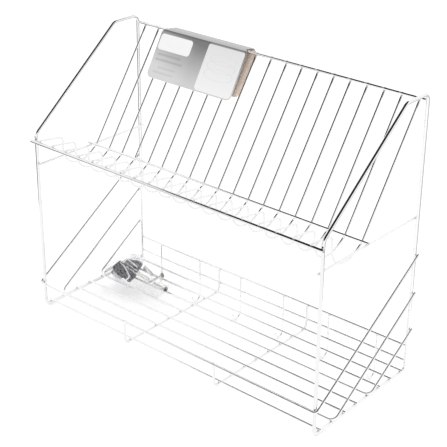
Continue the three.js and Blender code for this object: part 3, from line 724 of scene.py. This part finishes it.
def printedMaterial():
    look = cardPrint
    material, tree, shader = newMaterial("printedCard")
    marks = axes(tree, addNode(tree, "ShaderNodeUVMap", uv_map="print").outputs["UV"])
    x, y = (times(tree, marks[key], printUnit) for key in ("X", "Y"))
    mottle = noise(tree, *look["mottle"])
    sheen = plus(tree, ramp(tree, y, *look["darkensUp"]), ramp(tree, x, *look["lightensLeft"]), clamp=True)
    sheen = plus(tree, sheen, ramp(tree, mottle, -look["mottleTone"], look["mottleTone"]), clamp=True)
    colour = mix(tree, sheen, look["light"], look["dark"])
    for bar in look["bars"]:
        mask = fieldMask(tree, x, y, {**bar, **look["barShape"]}, 1.0)
        colour = mix(tree, times(tree, mask, bar["tone"]), colour, look["barColour"])
    colour = mix(tree, fieldMask(tree, x, y, look["label"]), colour, look["label"]["colour"])
    field, band, crease = look["field"], look["band"], look["crease"]
    fill = mix(tree, ramp(tree, y, 0, 1, *field["over"]), field["low"], field["colour"])
    for ring in look["rings"]:
        fill = mix(tree, times(tree, ringMask(tree, x, y, ring), look["ringTone"]), fill, look["ringColour"])
    colour = mix(tree, fieldMask(tree, x, y, field), colour, fill)
    inBand = ramp(tree, y, 0, 1, band["from"] - band["soft"], band["from"] + band["soft"])
    colour = mix(tree, inBand, colour, band["colour"])
    off = maths(tree, "ABSOLUTE", minus(tree, y, crease["at"]))
    colour = mix(tree, ramp(tree, off, crease["tone"], 0, *crease["width"]), colour, crease["colour"])
    give(tree, shader, {"Base Color": colour, "Roughness": ramp(tree, mottle, *look["rough"]), **look["shader"]})
    bump(tree, shader, noise(tree, *look["grain"]), *look["bump"])
    return material


def boardMaterial(name, lighter=1.0):
    look = {**boardLook, "second": tuple(min(1.0, value * lighter) for value in boardLook["second"])}
    material, tree, shader, _, colour, _ = finish(name, look)
    fleck = ramp(tree, noise(tree, *look["flecks"]), 0, 1, *look["flecksOver"])
    colour = mix(tree, times(tree, fleck, look["fleckTone"]), colour, look["fleckColour"])
    along = axes(tree, addNode(tree, "ShaderNodeUVMap", uv_map="print").outputs["UV"])["X"]
    # darker stripes about 3.7 mm apart, running up and down the board
    stripe = maths(tree, "SINE", times(tree, along, look["stripes"]))
    colour = mix(tree, ramp(tree, stripe, 0, look["stripeTone"], -1, 1), colour, look["colour"])
    give(tree, shader, {"Base Color": colour})
    return material


headerCard()

# Fixings in the bag: places are inward from the left side frame and forward of the rear posts
bag = {"length": 112, "width": 76, "height": 28, "fromFrame": 3.4, "fromRearPost": 16, "film": 0.4}
bagUnderside = trayHeight + trayWire / 2 + gap
bagFloor = bagUnderside + bag["film"] + gap
laidPieces = []


def laidAt(inward, forward, height):
    return at(inward - half, depth - forward, bagFloor + height)


def finishPiece(piece, node):
    laidPieces.append(piece)
    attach(piece, "root")
    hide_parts(node)


plasticLook = {
    "shared": {"cloud": (220, 4, 0.6), "blend": (0.35, 0.65), "grain": (2600, 2, 0.6), "grainRough": True,
               "bump": (0.00006, 0.35)},
    "blackPlastic": {"colour": (0.012, 0.011, 0.016, 1), "second": (0.04, 0.038, 0.05, 1), "rough": (0.35, 0.5),
                     "shader": {"Specular IOR Level": 0.25}},
    "creamPlastic": {"colour": (0.95, 0.935, 0.90, 1), "second": (0.91, 0.88, 0.82, 1), "rough": (0.4, 0.55)},
    "greyPlastic": {"colour": (0.74, 0.745, 0.75, 1), "second": (0.62, 0.625, 0.635, 1), "rough": (0.4, 0.55)},
}


def plasticMaterial(name):
    return finish(name, {**plasticLook["shared"], **plasticLook[name]})[0]


# Brackets: the solids' own shape with its edges rounded as moulded plastic has them
bracket = {
    "edge": 0.35, "edgeAngle": math.radians(35), "steps": 3, "profile": 0.6,
    "flatAngle": math.radians(2), "sameSpot": 0.02, "sharpAngle": math.radians(40),
}


def roundedCopy(node, name):
    builder = bmesh.new()
    builder.from_mesh(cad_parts[node].data)
    bmesh.ops.remove_doubles(builder, verts=builder.verts, dist=bracket["sameSpot"] * mm)
    bmesh.ops.dissolve_limit(builder, angle_limit=bracket["flatAngle"], verts=builder.verts, edges=builder.edges)
    sharp = [edge for edge in builder.edges
             if len(edge.link_faces) == 2 and edge.calc_face_angle() > bracket["edgeAngle"]]
    bmesh.ops.bevel(builder, geom=sharp, offset=bracket["edge"] * mm, segments=bracket["steps"],
                    profile=bracket["profile"], affect="EDGES", clamp_overlap=True)
    mesh = meshOf(builder, name)
    mesh.shade_smooth()
    mesh.set_sharp_from_angle(angle=bracket["sharpAngle"])
    return addPiece(name, mesh)


blackPlastic = plasticMaterial("blackPlastic")
for number in (1, 2):
    piece = roundedCopy(f"wall_bracket_{number}", f"wallBracket{number}")
    piece.data.materials.clear()
    piece.data.materials.append(blackPlastic)
    finishPiece(piece, f"wall_bracket_{number}")

# Screws: a rolled thread, a smooth shank and a countersunk head with a crossed recess
screw = {
    "length": 30, "thread": 4, "core": 2.7, "shank": 3, "head": 8, "headHeight": 3, "point": 5, "threadLength": 19,
    "pitch": 1.7, "crest": 0.24, "runOut": 1.2, "drive": 4.2, "driveWidth": 1.0, "driveDepth": 1.5, "sides": 48,
    "step": 0.17, "cone": 0.88, "headSteps": (0, 0.3, 0.6, 0.88, 0.96, 1), "sharpAngle": math.radians(45),
    "crestPower": 0.8, "corePower": 0.8, "pointPower": 0.6, "driveSlack": 0.05, "driveRise": 0.6, "driveEdge": 0.35,
    "faceSteps": (0.95, 0.88, 0.8, 0.72, 0.64, 0.56, 0.5, 0.44, 0.38, 0.3, 0.22, 0.14, 0.07),
    "places": {"screw_1": (110, 65.5, -97), "screw_2": (77, 37.5, -4)},
}
headStart = screw["length"] - screw["headHeight"]
zincLook = {
    "colour": (0.86, 0.83, 0.80, 1), "second": (0.60, 0.56, 0.52, 1),
    "head": (0.40, 0.355, 0.31, 1), "headSecond": (0.13, 0.11, 0.095, 1), "headOver": (-1, 0.5),
    "cloud": (260, 4, 0.6), "blend": (0.4, 0.6), "rough": (0.22, 0.4), "grain": (2400, 2, 0.5),
    "bump": (0.00004, 0.3), "shader": {"Metallic": 1},
}


def screwRadius(along, turn):
    if along > screw["threadLength"]:
        return screw["shank"] / 2
    taper = min(1.0, along / screw["point"])
    phase = (along / screw["pitch"] - turn / (2 * math.pi)) % 1
    crest = max(0.0, 1 - abs(phase - 0.5) / screw["crest"]) ** screw["crestPower"]
    fade = min(1.0, (screw["threadLength"] - along) / screw["runOut"])
    core = screw["core"] / 2 * taper ** screw["corePower"]
    return core + (screw["thread"] / 2 * taper ** screw["pointPower"] - core) * crest * fade


def recessDepth(reach, turn):
    # how deep the crossed recess is at this place on the head
    off = min(abs(reach * math.cos(turn)), abs(reach * math.sin(turn)))
    if reach >= screw["drive"] / 2 or off >= screw["driveWidth"] / 2 + screw["driveSlack"]:
        return 0
    return screw["driveDepth"] * min(1.0, (screw["drive"] / 2 - reach) / screw["driveRise"] + screw["driveEdge"])


def screwPiece(name, material):
    sides, headRadius, shankRadius = screw["sides"], screw["head"] / 2, screw["shank"] / 2
    turns = [2 * math.pi * k / sides for k in range(sides)]
    rings = []
    along = screw["step"]
    while along < headStart:
        rings.append([(along, screwRadius(along, turn)) for turn in turns])
        along += screw["step"]
    for share in screw["headSteps"]:
        reach = shankRadius + (headRadius - shankRadius) * min(1, share / screw["cone"])
        rings.append([(headStart + screw["headHeight"] * share, reach)] * sides)
    for share in screw["faceSteps"]:
        reach = headRadius * share
        rings.append([(screw["length"] - recessDepth(reach, turn), reach) for turn in turns])
    points = [Vector((0, 0, 0))]
    for ring in rings:
        points += [Vector((reach * math.cos(turn), place, reach * math.sin(turn))) * mm
                   for turn, (place, reach) in zip(turns, ring)]
    points.append(Vector((0, screw["length"] - screw["driveDepth"], 0)) * mm)
    faces = [(0, 1 + (k + 1) % sides, 1 + k) for k in range(sides)] + ringFaces(len(rings), sides, 1)
    last = len(points) - 1 - sides
    faces += [(len(points) - 1, last + k, last + (k + 1) % sides) for k in range(sides)]
    mesh = meshOfPoints(name, points, faces)
    mesh.shade_smooth()
    mesh.set_sharp_from_angle(angle=screw["sharpAngle"])
    mesh.materials.append(material)
    return addPiece(name, mesh)


def zincMaterial():
    material, tree, shader, cloud, shank, _ = finish("zincPlating", zincLook)
    head = mix(tree, ramp(tree, cloud, 0, 1, *zincLook["blend"]), zincLook["head"], zincLook["headSecond"])
    isHead = ramp(tree, axes(tree)["Y"], 0, 1, *((headStart + off) * mm for off in zincLook["headOver"]))
    give(tree, shader, {"Base Color": mix(tree, isHead, shank, head)})
    return material


zincPlating = zincMaterial()
tilt = math.atan2((screw["head"] - screw["thread"]) / 2, screw["length"] - screw["point"])
for node, (inward, forward, turn) in screw["places"].items():
    piece = screwPiece(node.replace("screw_", "countersunkScrew"), zincPlating)
    turned = Matrix.Rotation(math.radians(turn), 4, "Z") @ Matrix.Rotation(tilt, 4, "X")
    rim = laidAt(inward, forward, screw["head"] / 2 * math.cos(tilt))
    piece.matrix_world = Matrix.Translation(rim - turned @ (Vector((0, screw["length"], 0)) * mm)) @ turned
    finishPiece(piece, node)

# Wall plugs: a collar, ribs all along, a bore and a split end
plug = {
    "length": 25, "diameter": 6, "core": 5.2, "collar": 7.4, "collarHeight": 1.2, "nose": 4.4, "noseLength": 5,
    "bore": 3.2, "boreDepth": 21, "slot": 1, "slotLength": 16, "rib": 1.6, "sides": 36, "sameSpot": 0.005,
    "boreTip": 0.8, "boreMouth": (0.4, 0.35), "collarEdge": 0.25, "collarUnder": 0.3, "ribStart": 0.5,
    "ribRise": 0.15, "ribFlat": 0.5, "ribFoot": 0.2, "ribsTaper": 0.1, "noseEdge": 0.5,
    "slitOver": 1, "slitBeside": 1.6, "sharpAngle": math.radians(30),
    "places": {"wall_plug_1": (47, 57, -98, "creamPlastic", "cream_plastic"),
               "wall_plug_2": (42, 38, -110, "greyPlastic", "grey_plastic")},
}


def plugProfile():
    # places along the plug and radii: up the bore, over the collar, along the ribs and round the nose
    length, collarHeight, rib, bottom = plug["length"], plug["collarHeight"], plug["rib"], plug["boreDepth"]
    bore, collar, core, ribs, nose = (plug[key] / 2 for key in ("bore", "collar", "core", "diameter", "nose"))
    edge, noseEdge, (mouthDepth, mouthWide) = plug["collarEdge"], plug["noseEdge"], plug["boreMouth"]
    line = [(bottom, 0), (bottom - plug["boreTip"], bore), (mouthDepth, bore), (0, bore + mouthWide),
            (0, collar - edge), (edge, collar), (collarHeight - edge, collar),
            (collarHeight, collar - plug["collarUnder"]), (collarHeight, core)]
    along = collarHeight + plug["ribStart"]
    ribsEnd = length - plug["noseLength"]
    while along + rib < ribsEnd:
        line += [(along, core), (along + plug["ribRise"], ribs), (along + plug["ribFlat"], ribs),
                 (along + rib - plug["ribFoot"], core)]
        along += rib
    return line + [(ribsEnd, ribs - plug["ribsTaper"]), (length - noseEdge, nose), (length, nose - noseEdge),
                   (length, 0)]


def plugPiece(name, material):
    builder = bmesh.new()
    profile = [builder.verts.new((reach * mm, along * mm, 0)) for along, reach in plugProfile()]
    edges = [builder.edges.new(pair) for pair in zip(profile, profile[1:])]
    bmesh.ops.spin(builder, geom=profile + edges, axis=yAxis, cent=(0, 0, 0), steps=plug["sides"],
                   angle=2 * math.pi, use_duplicate=False)
    bmesh.ops.remove_doubles(builder, verts=builder.verts, dist=plug["sameSpot"] * mm)
    bmesh.ops.recalc_face_normals(builder, faces=builder.faces)
    piece = addPiece(name, meshOf(builder, name))
    builder = bmesh.new()
    length = plug["slotLength"] + plug["slitOver"]
    slit = Matrix.Diagonal((plug["slot"] * mm, length * mm, (plug["collar"] + plug["slitBeside"]) * mm, 1))
    place = Matrix.Translation((0, (plug["length"] + plug["slitOver"] - length / 2) * mm, 0))
    bmesh.ops.create_cube(builder, size=1, matrix=place @ slit)
    cutter = addPiece("slitCutter", meshOf(builder, "slitCutter"))
    cut = piece.modifiers.new("slit", "BOOLEAN")
    cut.operation, cut.object, cut.solver = "DIFFERENCE", cutter, "EXACT"
    bpy.context.view_layer.update()
    mesh = bpy.data.meshes.new_from_object(piece.evaluated_get(bpy.context.evaluated_depsgraph_get()))
    piece.modifiers.clear()
    piece.data = mesh
    bpy.data.objects.remove(cutter)
    mesh.shade_smooth()
    mesh.set_sharp_from_angle(angle=plug["sharpAngle"])
    mesh.materials.clear()
    mesh.materials.append(material)
    return piece


for node, (inward, forward, turn, look, slotName) in plug["places"].items():
    piece = plugPiece(node.replace("wall_plug_", "wallPlug"), plasticMaterial(look))
    place = Matrix.Translation(laidAt(inward, forward, plug["collar"] / 2))
    piece.matrix_world = place @ Matrix.Rotation(math.radians(turn), 4, "Z")
    finishPiece(piece, node)
print("fixings made")

# The film: a skin with an inside, draped over what lies in it, creased, welded at the left and open at the right
film = {
    "thickness": 0.1, "inset": 0.15, "columns": 96, "across": 84, "step": 1.0, "slope": 0.5, "clear": 0.9,
    "low": 2.2, "top": 26.8, "smooth": 2, "sidePower": 0.9, "edgePower": 7, "edgeMost": 0.999,
    "seam": 5, "seamStart": 0.03, "seamPower": 0.8, "seamCrease": 0.9, "seamShare": 0.02,
    "mouth": 8, "mouthWave": 1.2, "mouthPitch": 0.35, "lift": 0.6, "lowTop": 0.7,
    "under": (0.25, 0.2), "underRates": (0.7, 0.25), "underCrease": 0.1,
    "sideFold": 0.985, "sideHeights": (0.35, 0.6),
    "narrowing": ((0, 0.02, 0.06, 0.3, 0.5, 0.68, 0.84, 1), (0.82, 0.95, 1, 1, 1, 0.98, 0.95, 0.93)),
    "seamWidth": (0.86, 1.6),
    "bulges": [(22, 150, 23.5), (30, 153, 22), (40, 152, 19), (52, 147, 15)],  # air that holds the film up
    "wrinkles": {"seed": 11, "count": 9, "rates": (0.05, 0.2), "pitch": 1.6, "bend": 1.5, "bendRate": 0.11,
                 "sharp": 2.2, "high": 0.4, "crease": 0.22},
    "folds": [  # ridges that catch the light: points inward and behind the front posts, width and height
        ([(26.8, 122.5), (34.2, 122.9), (44, 119.3), (51.8, 115.3), (53.9, 109.3), (53.5, 106)], 1.7, 1.1),
        ([(21, 141), (31.9, 139.5), (43.4, 140.8)], 1.5, 0.9),
        ([(35, 126), (43, 128.1), (48.4, 130.3)], 1.2, 0.8),
        ([(25, 131), (35, 133), (49, 136)], 1.0, 0.7),
        ([(25.6, 144), (24.5, 152), (35.8, 154), (43.6, 150)], 3.0, 0.6),
        ([(29.5, 104.3), (46, 104.3), (64, 104.3)], 0.9, 0.5),
        ([(50, 150), (64, 143), (76.9, 137.6), (86, 136)], 1.6, 0.9),
        ([(81.7, 148.4), (97, 139), (111, 130)], 1.5, 0.9),
        ([(70, 128), (86, 129), (106, 126)], 1.6, 0.9),
        ([(50, 131), (60, 133), (70, 133)], 2.4, 0.6),
    ],
    # the fine crumples show as white specks, a painted sheen
    "crumpleFrom": 6, "crumpleOver": 4,   # height above the tray from which the film shows fine crumples
}
# The film is nearly clear; its white along folds, ridges and the crease attribute is painted highlight, and its specks
# high over the fixings are painted sheen
filmLook = {
    "colour": (0.97, 0.975, 0.98, 1), "second": (0.93, 0.935, 0.945, 1), "shader": {"Specular IOR Level": 0.05},
    "cloud": (300, 4, 0.6), "blend": (0.3, 0.7), "rough": (0.08, 0.22), "grain": (900, 3, 0.6),
    "bump": (0.0001, 0.3), "clear": 0.006, "rim": 0.25, "rimPower": 3.0, "rimTone": 0.12,
    "crease": 0.95, "highlightPower": 1.3, "highlightOver": (0.7, 1.1, 0.35, 0.6),
    "crumples": (420, 5, 0.75), "crumpleSheen": (0, 0.15, 0.5, 0.7),
}


def distanceToLine(x, y, line):
    nearest = np.full(x.shape, np.inf)
    for (x0, y0), (x1, y1) in zip(line, line[1:]):
        share = ((x - x0) * (x1 - x0) + (y - y0) * (y1 - y0)) / ((x1 - x0) ** 2 + (y1 - y0) ** 2)
        share = np.clip(share, 0, 1)
        nearest = np.minimum(nearest, np.hypot(x - x0 - share * (x1 - x0), y - y0 - share * (y1 - y0)))
    return nearest


def drapeHeights(pieces):
    # the film's height over a grid of the bag: what lies highest under each point, spread down at the film's slope
    step = film["step"]
    xs = np.arange(0, bag["length"] + step, step) + bag["fromFrame"]
    ys = np.arange(0, bag["width"] + step, step) + depth - bag["fromRearPost"] - bag["width"]
    peaks = np.full((len(xs), len(ys)), film["low"])
    base = at(-half, 0, bagUnderside)
    for piece in pieces:
        corners = [(piece.matrix_world @ v.co - base) / mm for v in piece.data.vertices]
        tree = BVHTree.FromPolygons(corners, [list(face.vertices) for face in piece.data.polygons])
        for i, x in enumerate(xs):
            for j, y in enumerate(ys):
                hit = tree.ray_cast(Vector((x, y, 2 * bag["height"])), -zAxis)[0]
                if hit is not None:
                    peaks[i, j] = max(peaks[i, j], hit.z + film["clear"])
    for inward, behind, height in film["bulges"]:
        peaks[round((inward - xs[0]) / step), round((behind - ys[0]) / step)] = height
    reach = int(bag["height"] / film["slope"] / step)
    padded = np.pad(peaks, reach, mode="constant")
    draped = peaks.copy()
    for i in range(2 * reach + 1):
        for j in range(2 * reach + 1):
            fall = film["slope"] * step * math.hypot(i - reach, j - reach)
            draped = np.maximum(draped, padded[i:i + len(xs), j:j + len(ys)] - fall)
    raised = draped.copy()
    for _ in range(film["smooth"]):
        padded = np.pad(raised, 1, mode="edge")
        raised = sum(padded[i:i + len(xs), j:j + len(ys)] for i in range(3) for j in range(3)) / 9
        raised = np.maximum(raised, draped)
    return xs, ys, raised


def readGrid(xs, ys, grid, x, y):
    i = np.clip((x - xs[0]) / film["step"], 0, len(xs) - 1.001)
    j = np.clip((y - ys[0]) / film["step"], 0, len(ys) - 1.001)
    i0, j0 = i.astype(int), j.astype(int)
    di, dj = i - i0, j - j0
    return (grid[i0, j0] * (1 - di) * (1 - dj) + grid[i0 + 1, j0] * di * (1 - dj)
            + grid[i0, j0 + 1] * (1 - di) * dj + grid[i0 + 1, j0 + 1] * di * dj)


def filmMesh():
    xs, ys, drape = drapeHeights(laidPieces)
    columns, across, inset = film["columns"], film["across"], film["inset"]
    left, rear = bag["fromFrame"] + inset, depth - bag["fromRearPost"] - inset
    width, length = bag["width"] - 2 * inset, bag["length"] - 2 * inset
    turn = np.arange(2 * across) / across
    onTop = turn < 1
    side = np.where(onTop, 1 - 2 * turn, 2 * turn - 3)
    side = np.sign(side) * np.abs(np.sin(side * math.pi / 2)) ** film["sidePower"]
    look, power, seamStart = film["wrinkles"], film["edgePower"], film["seamWidth"]
    random = np.random.default_rng(look["seed"])
    waves = [(random.uniform(*look["rates"]), random.uniform(0, math.pi), random.uniform(0, 6.28))
             for _ in range(look["count"])]
    rings, creases, crumples = [], [], []
    for column in range(columns + 1):
        share = column / columns
        along = share * length
        x = np.full(turn.shape, left + along)
        narrow = min(np.interp(share, *film["narrowing"]), seamStart[0] + seamStart[1] * share)
        y = rear - width / 2 + side * (width / 2 * narrow)
        height = readGrid(xs, ys, drape, x, y)
        crumples.append(np.where(onTop, np.clip((height - film["crumpleFrom"]) / film["crumpleOver"], 0, 1), 0))
        crease = np.zeros(turn.shape)
        for rate, heading, phase in waves:
            swing = np.sin(rate * (x * math.cos(heading) + y * math.sin(heading)) * 2 * math.pi / look["pitch"]
                           + phase + look["bend"] * np.sin(look["bendRate"] * x + phase))
            ridge = np.maximum(0, 1 - np.abs(swing) * look["sharp"]) ** 2
            height = height + look["high"] * ridge
            crease = np.maximum(crease, ridge * look["crease"])
        for line, wide, high in film["folds"]:
            near = np.maximum(0, 1 - distanceToLine(x, y, line) / wide)
            height = height + high * near
            crease = np.maximum(crease, near)
        height = np.minimum(height, film["top"])
        edge = (1 - np.minimum(np.abs(side), film["edgeMost"]) ** power) ** (1 / power)
        seam = 1.0
        if along < film["seam"]:
            seam = min(1.0, film["seamStart"] + (along / film["seam"]) ** film["seamPower"])
        mouth = max(0.0, along - (length - film["mouth"])) / film["mouth"]
        lift = film["lift"] * film["thickness"] + height * edge * seam
        lift = lift + film["mouthWave"] * mouth * np.sin(y * film["mouthPitch"])
        under = film["under"][0] + film["under"][1] * np.sin(y * film["underRates"][0] + x * film["underRates"][1])
        z = np.where(onTop, np.maximum(lift, film["lowTop"]), under)
        z = np.where(np.abs(side) > film["sideFold"], np.clip(z, *film["sideHeights"]), z)
        rings.append(np.stack([x - half, y, z + bagUnderside], 1))
        shut = film["seamCrease"] * (share < film["seamShare"])
        creases.append(np.where(onTop, np.maximum(crease, shut), film["underCrease"]))
    return rings, creases, crumples


def fixingsBag():
    rings, creases, crumples = filmMesh()
    rows, around = len(rings), len(rings[0])
    outside = np.array(rings)
    ahead = np.roll(outside, -1, 1) - np.roll(outside, 1, 1)
    normal = np.cross(ahead, np.gradient(outside, axis=0))
    normal /= np.maximum(np.linalg.norm(normal, axis=2, keepdims=True), 1e-9)
    if ((outside - outside.mean(axis=1, keepdims=True)) * normal).sum() < 0:
        normal = -normal
    inside = outside - normal * film["thickness"]
    points = [tuple(at(*point)) for layer in (outside, inside) for point in layer.reshape(-1, 3)]
    inner = rows * around
    faces = ringFaces(rows, around) + [face[::-1] for face in ringFaces(rows, around, inner)]
    last = inner - around
    for k in range(around):
        a, b = last + k, last + (k + 1) % around
        faces.append((a, b, inner + b, inner + a))
    # the left end is shut, outside and in, by a strip between the two sheets
    for k in range(around // 2 - 1):
        corners = list(dict.fromkeys((k, k + 1, (around - 2 - k) % around, around - 1 - k)))
        if len(corners) > 2:
            faces += [tuple(corners[::-1]), tuple(inner + v for v in corners)]
    mesh = meshOfPoints("clearBag", points, faces)
    for name, values in (("crease", creases), ("crumple", crumples)):
        layer = mesh.attributes.new(name, "FLOAT", "POINT")
        layer.data.foreach_set("value", np.tile(np.array(values).ravel(), 2).astype(np.float32))
    mesh.shade_smooth()
    mesh.materials.append(filmMaterial())
    builder = bmesh.new()
    builder.from_mesh(mesh)
    bmesh.ops.recalc_face_normals(builder, faces=builder.faces)
    builder.to_mesh(mesh)
    builder.free()
    finishPiece(addPiece("clearBag", mesh), "fixings_bag")
    print("bag made:", len(mesh.polygons), "faces")


def filmMaterial():
    look = filmLook
    material, tree, shader, cloud, _, _ = finish("clearFilm", look)
    crease, raised = (addNode(tree, "ShaderNodeAttribute", attribute_name=name).outputs["Fac"]
                      for name in ("crease", "crumple"))
    rim = addNode(tree, "ShaderNodeLayerWeight", {"Blend": look["rim"]}).outputs["Facing"]
    rim = times(tree, maths(tree, "POWER", rim, look["rimPower"]), look["rimTone"])
    # white streaks along the creases: painted highlights
    creaseHighlight = times(tree, maths(tree, "POWER", crease, look["highlightPower"]), ramp(tree, cloud, *look["highlightOver"]))
    alpha = plus(tree, plus(tree, look["clear"], rim), times(tree, creaseHighlight, look["crease"]))
    # fine white specks where the film rides high: painted sheen of its crumples
    crumple = ramp(tree, noise(tree, *look["crumples"]), *look["crumpleSheen"])
    give(tree, shader, {"Alpha": plus(tree, alpha, times(tree, crumple, raised), clamp=True)})
    return material


fixingsBag()

# Camera
cameraFit = {
    "place": at(939.07, -987.77, 865.96),
    "azimuth": math.radians(40.61), "elevation": math.radians(-25.8), "roll": math.radians(0.64),
    "lens": 98.49, "sensor": 36, "clip": (0.01, 50),
}


def makeCamera(fit):
    azimuth, elevation, roll = fit["azimuth"], fit["elevation"], fit["roll"]
    level = Vector((-math.sin(azimuth), math.cos(azimuth), 0))
    forward = Vector((level.x * math.cos(elevation), level.y * math.cos(elevation), math.sin(elevation)))
    right = Vector((math.cos(azimuth), math.sin(azimuth), 0))
    up = right.cross(forward)
    turnedRight = right * math.cos(roll) + up * math.sin(roll)
    turnedUp = up * math.cos(roll) - right * math.sin(roll)
    data = bpy.data.cameras.new("camera")
    data.lens, data.sensor_width = fit["lens"], fit["sensor"]
    data.clip_start, data.clip_end = fit["clip"]
    camera = addPiece("camera", data)
    turn = Matrix((turnedRight, turnedUp, -forward)).transposed().to_4x4()
    camera.matrix_world = Matrix.Translation(fit["place"]) @ turn
    bpy.context.scene.camera = camera


makeCamera(cameraFit)

# Floor: it touches the front feet and the hooks, which reach lower, so it leans. The lifts are light that only
# the camera and the chrome see, and the shadow stays
floorLook = {"size": 16, "colour": (0.97, 0.97, 0.975, 1), "rough": 0.9, "lift": 0.2, "chromeLift": 0.1,
             "below": 0.1, "mostLean": math.radians(20), "halvings": 40}


def lowestAlong(node, normal):
    return min(normal.dot(v.co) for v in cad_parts[node].data.vertices)


def floorNormal(lean):
    return Vector((0, math.sin(lean), math.cos(lean)))


def floorMaterial():
    material, tree, shader = newMaterial("paleFloor")
    path = addNode(tree, "ShaderNodeLightPath").outputs
    seen = times(tree, path["Is Camera Ray"], floorLook["lift"])
    inChrome = times(tree, path["Is Glossy Ray"], floorLook["chromeLift"])
    give(tree, shader, {
        "Base Color": floorLook["colour"], "Roughness": floorLook["rough"], "Specular IOR Level": 0.0,
        "Emission Color": (1, 1, 1, 1), "Emission Strength": maths(tree, "MAXIMUM", seen, inChrome),
    })
    return material


def makeFloor():
    low, high = 0.0, floorLook["mostLean"]
    for _ in range(floorLook["halvings"]):
        lean = (low + high) / 2
        normal = floorNormal(lean)
        level = lowestAlong("hook_1", normal)
        if level < lowestAlong("side_frame_left", normal):
            low = lean
        else:
            high = lean
    reach = floorLook["size"] / 2
    corners = [(-reach, -reach, 0), (reach, -reach, 0), (reach, reach, 0), (-reach, reach, 0)]
    mesh = meshOfPoints("floor", corners, [(0, 1, 2, 3)])
    mesh.materials.append(floorMaterial())
    floor = addPiece("floor", mesh)
    place = Matrix.Translation(normal * (level - floorLook["below"] * mm))
    floor.matrix_world = place @ Matrix.Rotation(-lean, 4, "X")
    print("floor leans", round(math.degrees(lean), 2), "degrees")
    return floor


floor = makeFloor()

# Light: a white studio all round, one soft lamp, and dark shapes overhead and on the floor that only the chrome
# shows. Their outlines are in metres, the ones on the floor measured along it
lightLook = {
    "world": 1.0, "background": 1.0,
    "lampPower": 1.0, "lampSize": 1.2, "lampPlace": (-0.5, 0.5, 1.7),
    "dark": {
        "ceiling": {"height": 0.857, "tone": 0.02, "outline": [
            (1.17, -0.45), (0.85, -0.06), (0.61, 0.26), (0.28, 0.47), (-0.1, 0.59), (-0.36, 0.18),
            (-0.47, -0.08), (-0.52, -0.28), (-0.54, -0.45), (-0.63, -0.67), (-0.67, -1.02), (-0.44, -1.28),
            (-0.1, -1.44), (0.31, -1.44), (0.72, -1.27), (1.08, -0.94)]},
        "ceilingNear": {"height": 0.858, "tone": 0.48, "outline": [
            (0.26, -0.25), (0.23, -0.09), (0.13, 0.03), (-0.01, 0.09), (-0.15, 0.11), (-0.29, 0.09),
            (-0.45, 0.05), (-0.6, -0.07), (-0.63, -0.25), (-0.64, -0.45), (-0.51, -0.61), (-0.34, -0.7),
            (-0.15, -0.71), (0.02, -0.66), (0.14, -0.54), (0.22, -0.4)]},
        "ceilingFar": {"height": 0.859, "tone": 0.67, "outline": [
            (-0.46, 0.8), (-0.54, 1.06), (-0.8, 1.15), (-1.04, 1.04), (-1.18, 0.8), (-1.07, 0.53),
            (-0.8, 0.45), (-0.57, 0.57)]},
        "ceilingRight": {"height": 0.86, "tone": 0.76, "outline": [
            (1.19, 0.08), (1.09, 0.32), (0.85, 0.43), (0.59, 0.34), (0.49, 0.08), (0.6, -0.17),
            (0.85, -0.24), (1.1, -0.17)]},
        "floorLeft": {"height": 0.005, "tone": 0.23, "outline": [
            (-0.31, -0.5), (-0.5, -0.24), (-0.63, 0.06), (-0.95, 0.08), (-1.23, -0.01), (-1.47, -0.2),
            (-1.6, -0.5), (-1.52, -0.83), (-1.32, -1.14), (-0.95, -1.26), (-0.54, -1.22), (-0.25, -0.91)]},
        "floorRear": {"height": 0.004, "tone": 0.53, "outline": [
            (-0.54, 0.25), (-0.58, 0.32), (-0.65, 0.34), (-0.71, 0.31), (-0.73, 0.25), (-0.7, 0.2),
            (-0.65, 0.17), (-0.58, 0.18)]},
        "floorRight": {"height": 0.003, "tone": 0.59, "outline": [
            (2.26, 0.95), (2.07, 1.62), (1.5, 2.04), (0.8, 2.03), (0.22, 1.63), (-0.03, 0.95),
            (0.32, 0.35), (0.83, -0.02), (1.46, -0.01), (2, 0.33)]},
    },
}


def makeWorld():
    world = bpy.data.worlds.new("studio")
    bpy.context.scene.world = world
    world.use_nodes = True
    tree = world.node_tree
    tree.nodes.clear()
    path = addNode(tree, "ShaderNodeLightPath").outputs
    seen = maths(tree, "MAXIMUM", path["Is Camera Ray"], path["Is Glossy Ray"])
    seen = maths(tree, "MAXIMUM", seen, path["Is Transmission Ray"])
    strength = ramp(tree, seen, lightLook["world"], lightLook["background"])
    background = addNode(tree, "ShaderNodeBackground", {"Color": (1, 1, 1, 1), "Strength": strength})
    addNode(tree, "ShaderNodeOutputWorld", {"Surface": background.outputs["Background"]})


def makeLamp():
    data = bpy.data.lights.new("softLamp", "AREA")
    data.energy, data.size = lightLook["lampPower"], lightLook["lampSize"]
    lamp = addPiece("softLamp", data)
    lamp.location = lightLook["lampPlace"]
    lamp.rotation_mode = "QUATERNION"
    lamp.rotation_quaternion = (-Vector(lightLook["lampPlace"])).to_track_quat("-Z", "Y")
    lamp.visible_glossy = False


def makeDarkShape(name, look):
    outline = [(x, y, look["height"]) for x, y in look["outline"]]
    mesh = meshOfPoints(name, outline, [tuple(range(len(outline)))])
    piece = addPiece(name, mesh)
    material, tree, emission = newMaterial(name, "ShaderNodeEmission")
    give(tree, emission, {"Color": (1, 1, 1, 1), "Strength": look["tone"]})
    mesh.materials.append(material)
    piece.visible_camera = piece.visible_diffuse = piece.visible_shadow = piece.visible_transmission = False
    if name.startswith("floor"):
        piece.matrix_world = floor.matrix_world.copy()


makeWorld()
makeLamp()
for name, look in lightLook["dark"].items():
    makeDarkShape(name, look)
bpy.context.scene.view_settings.view_transform = "Standard"

print("scene ready")
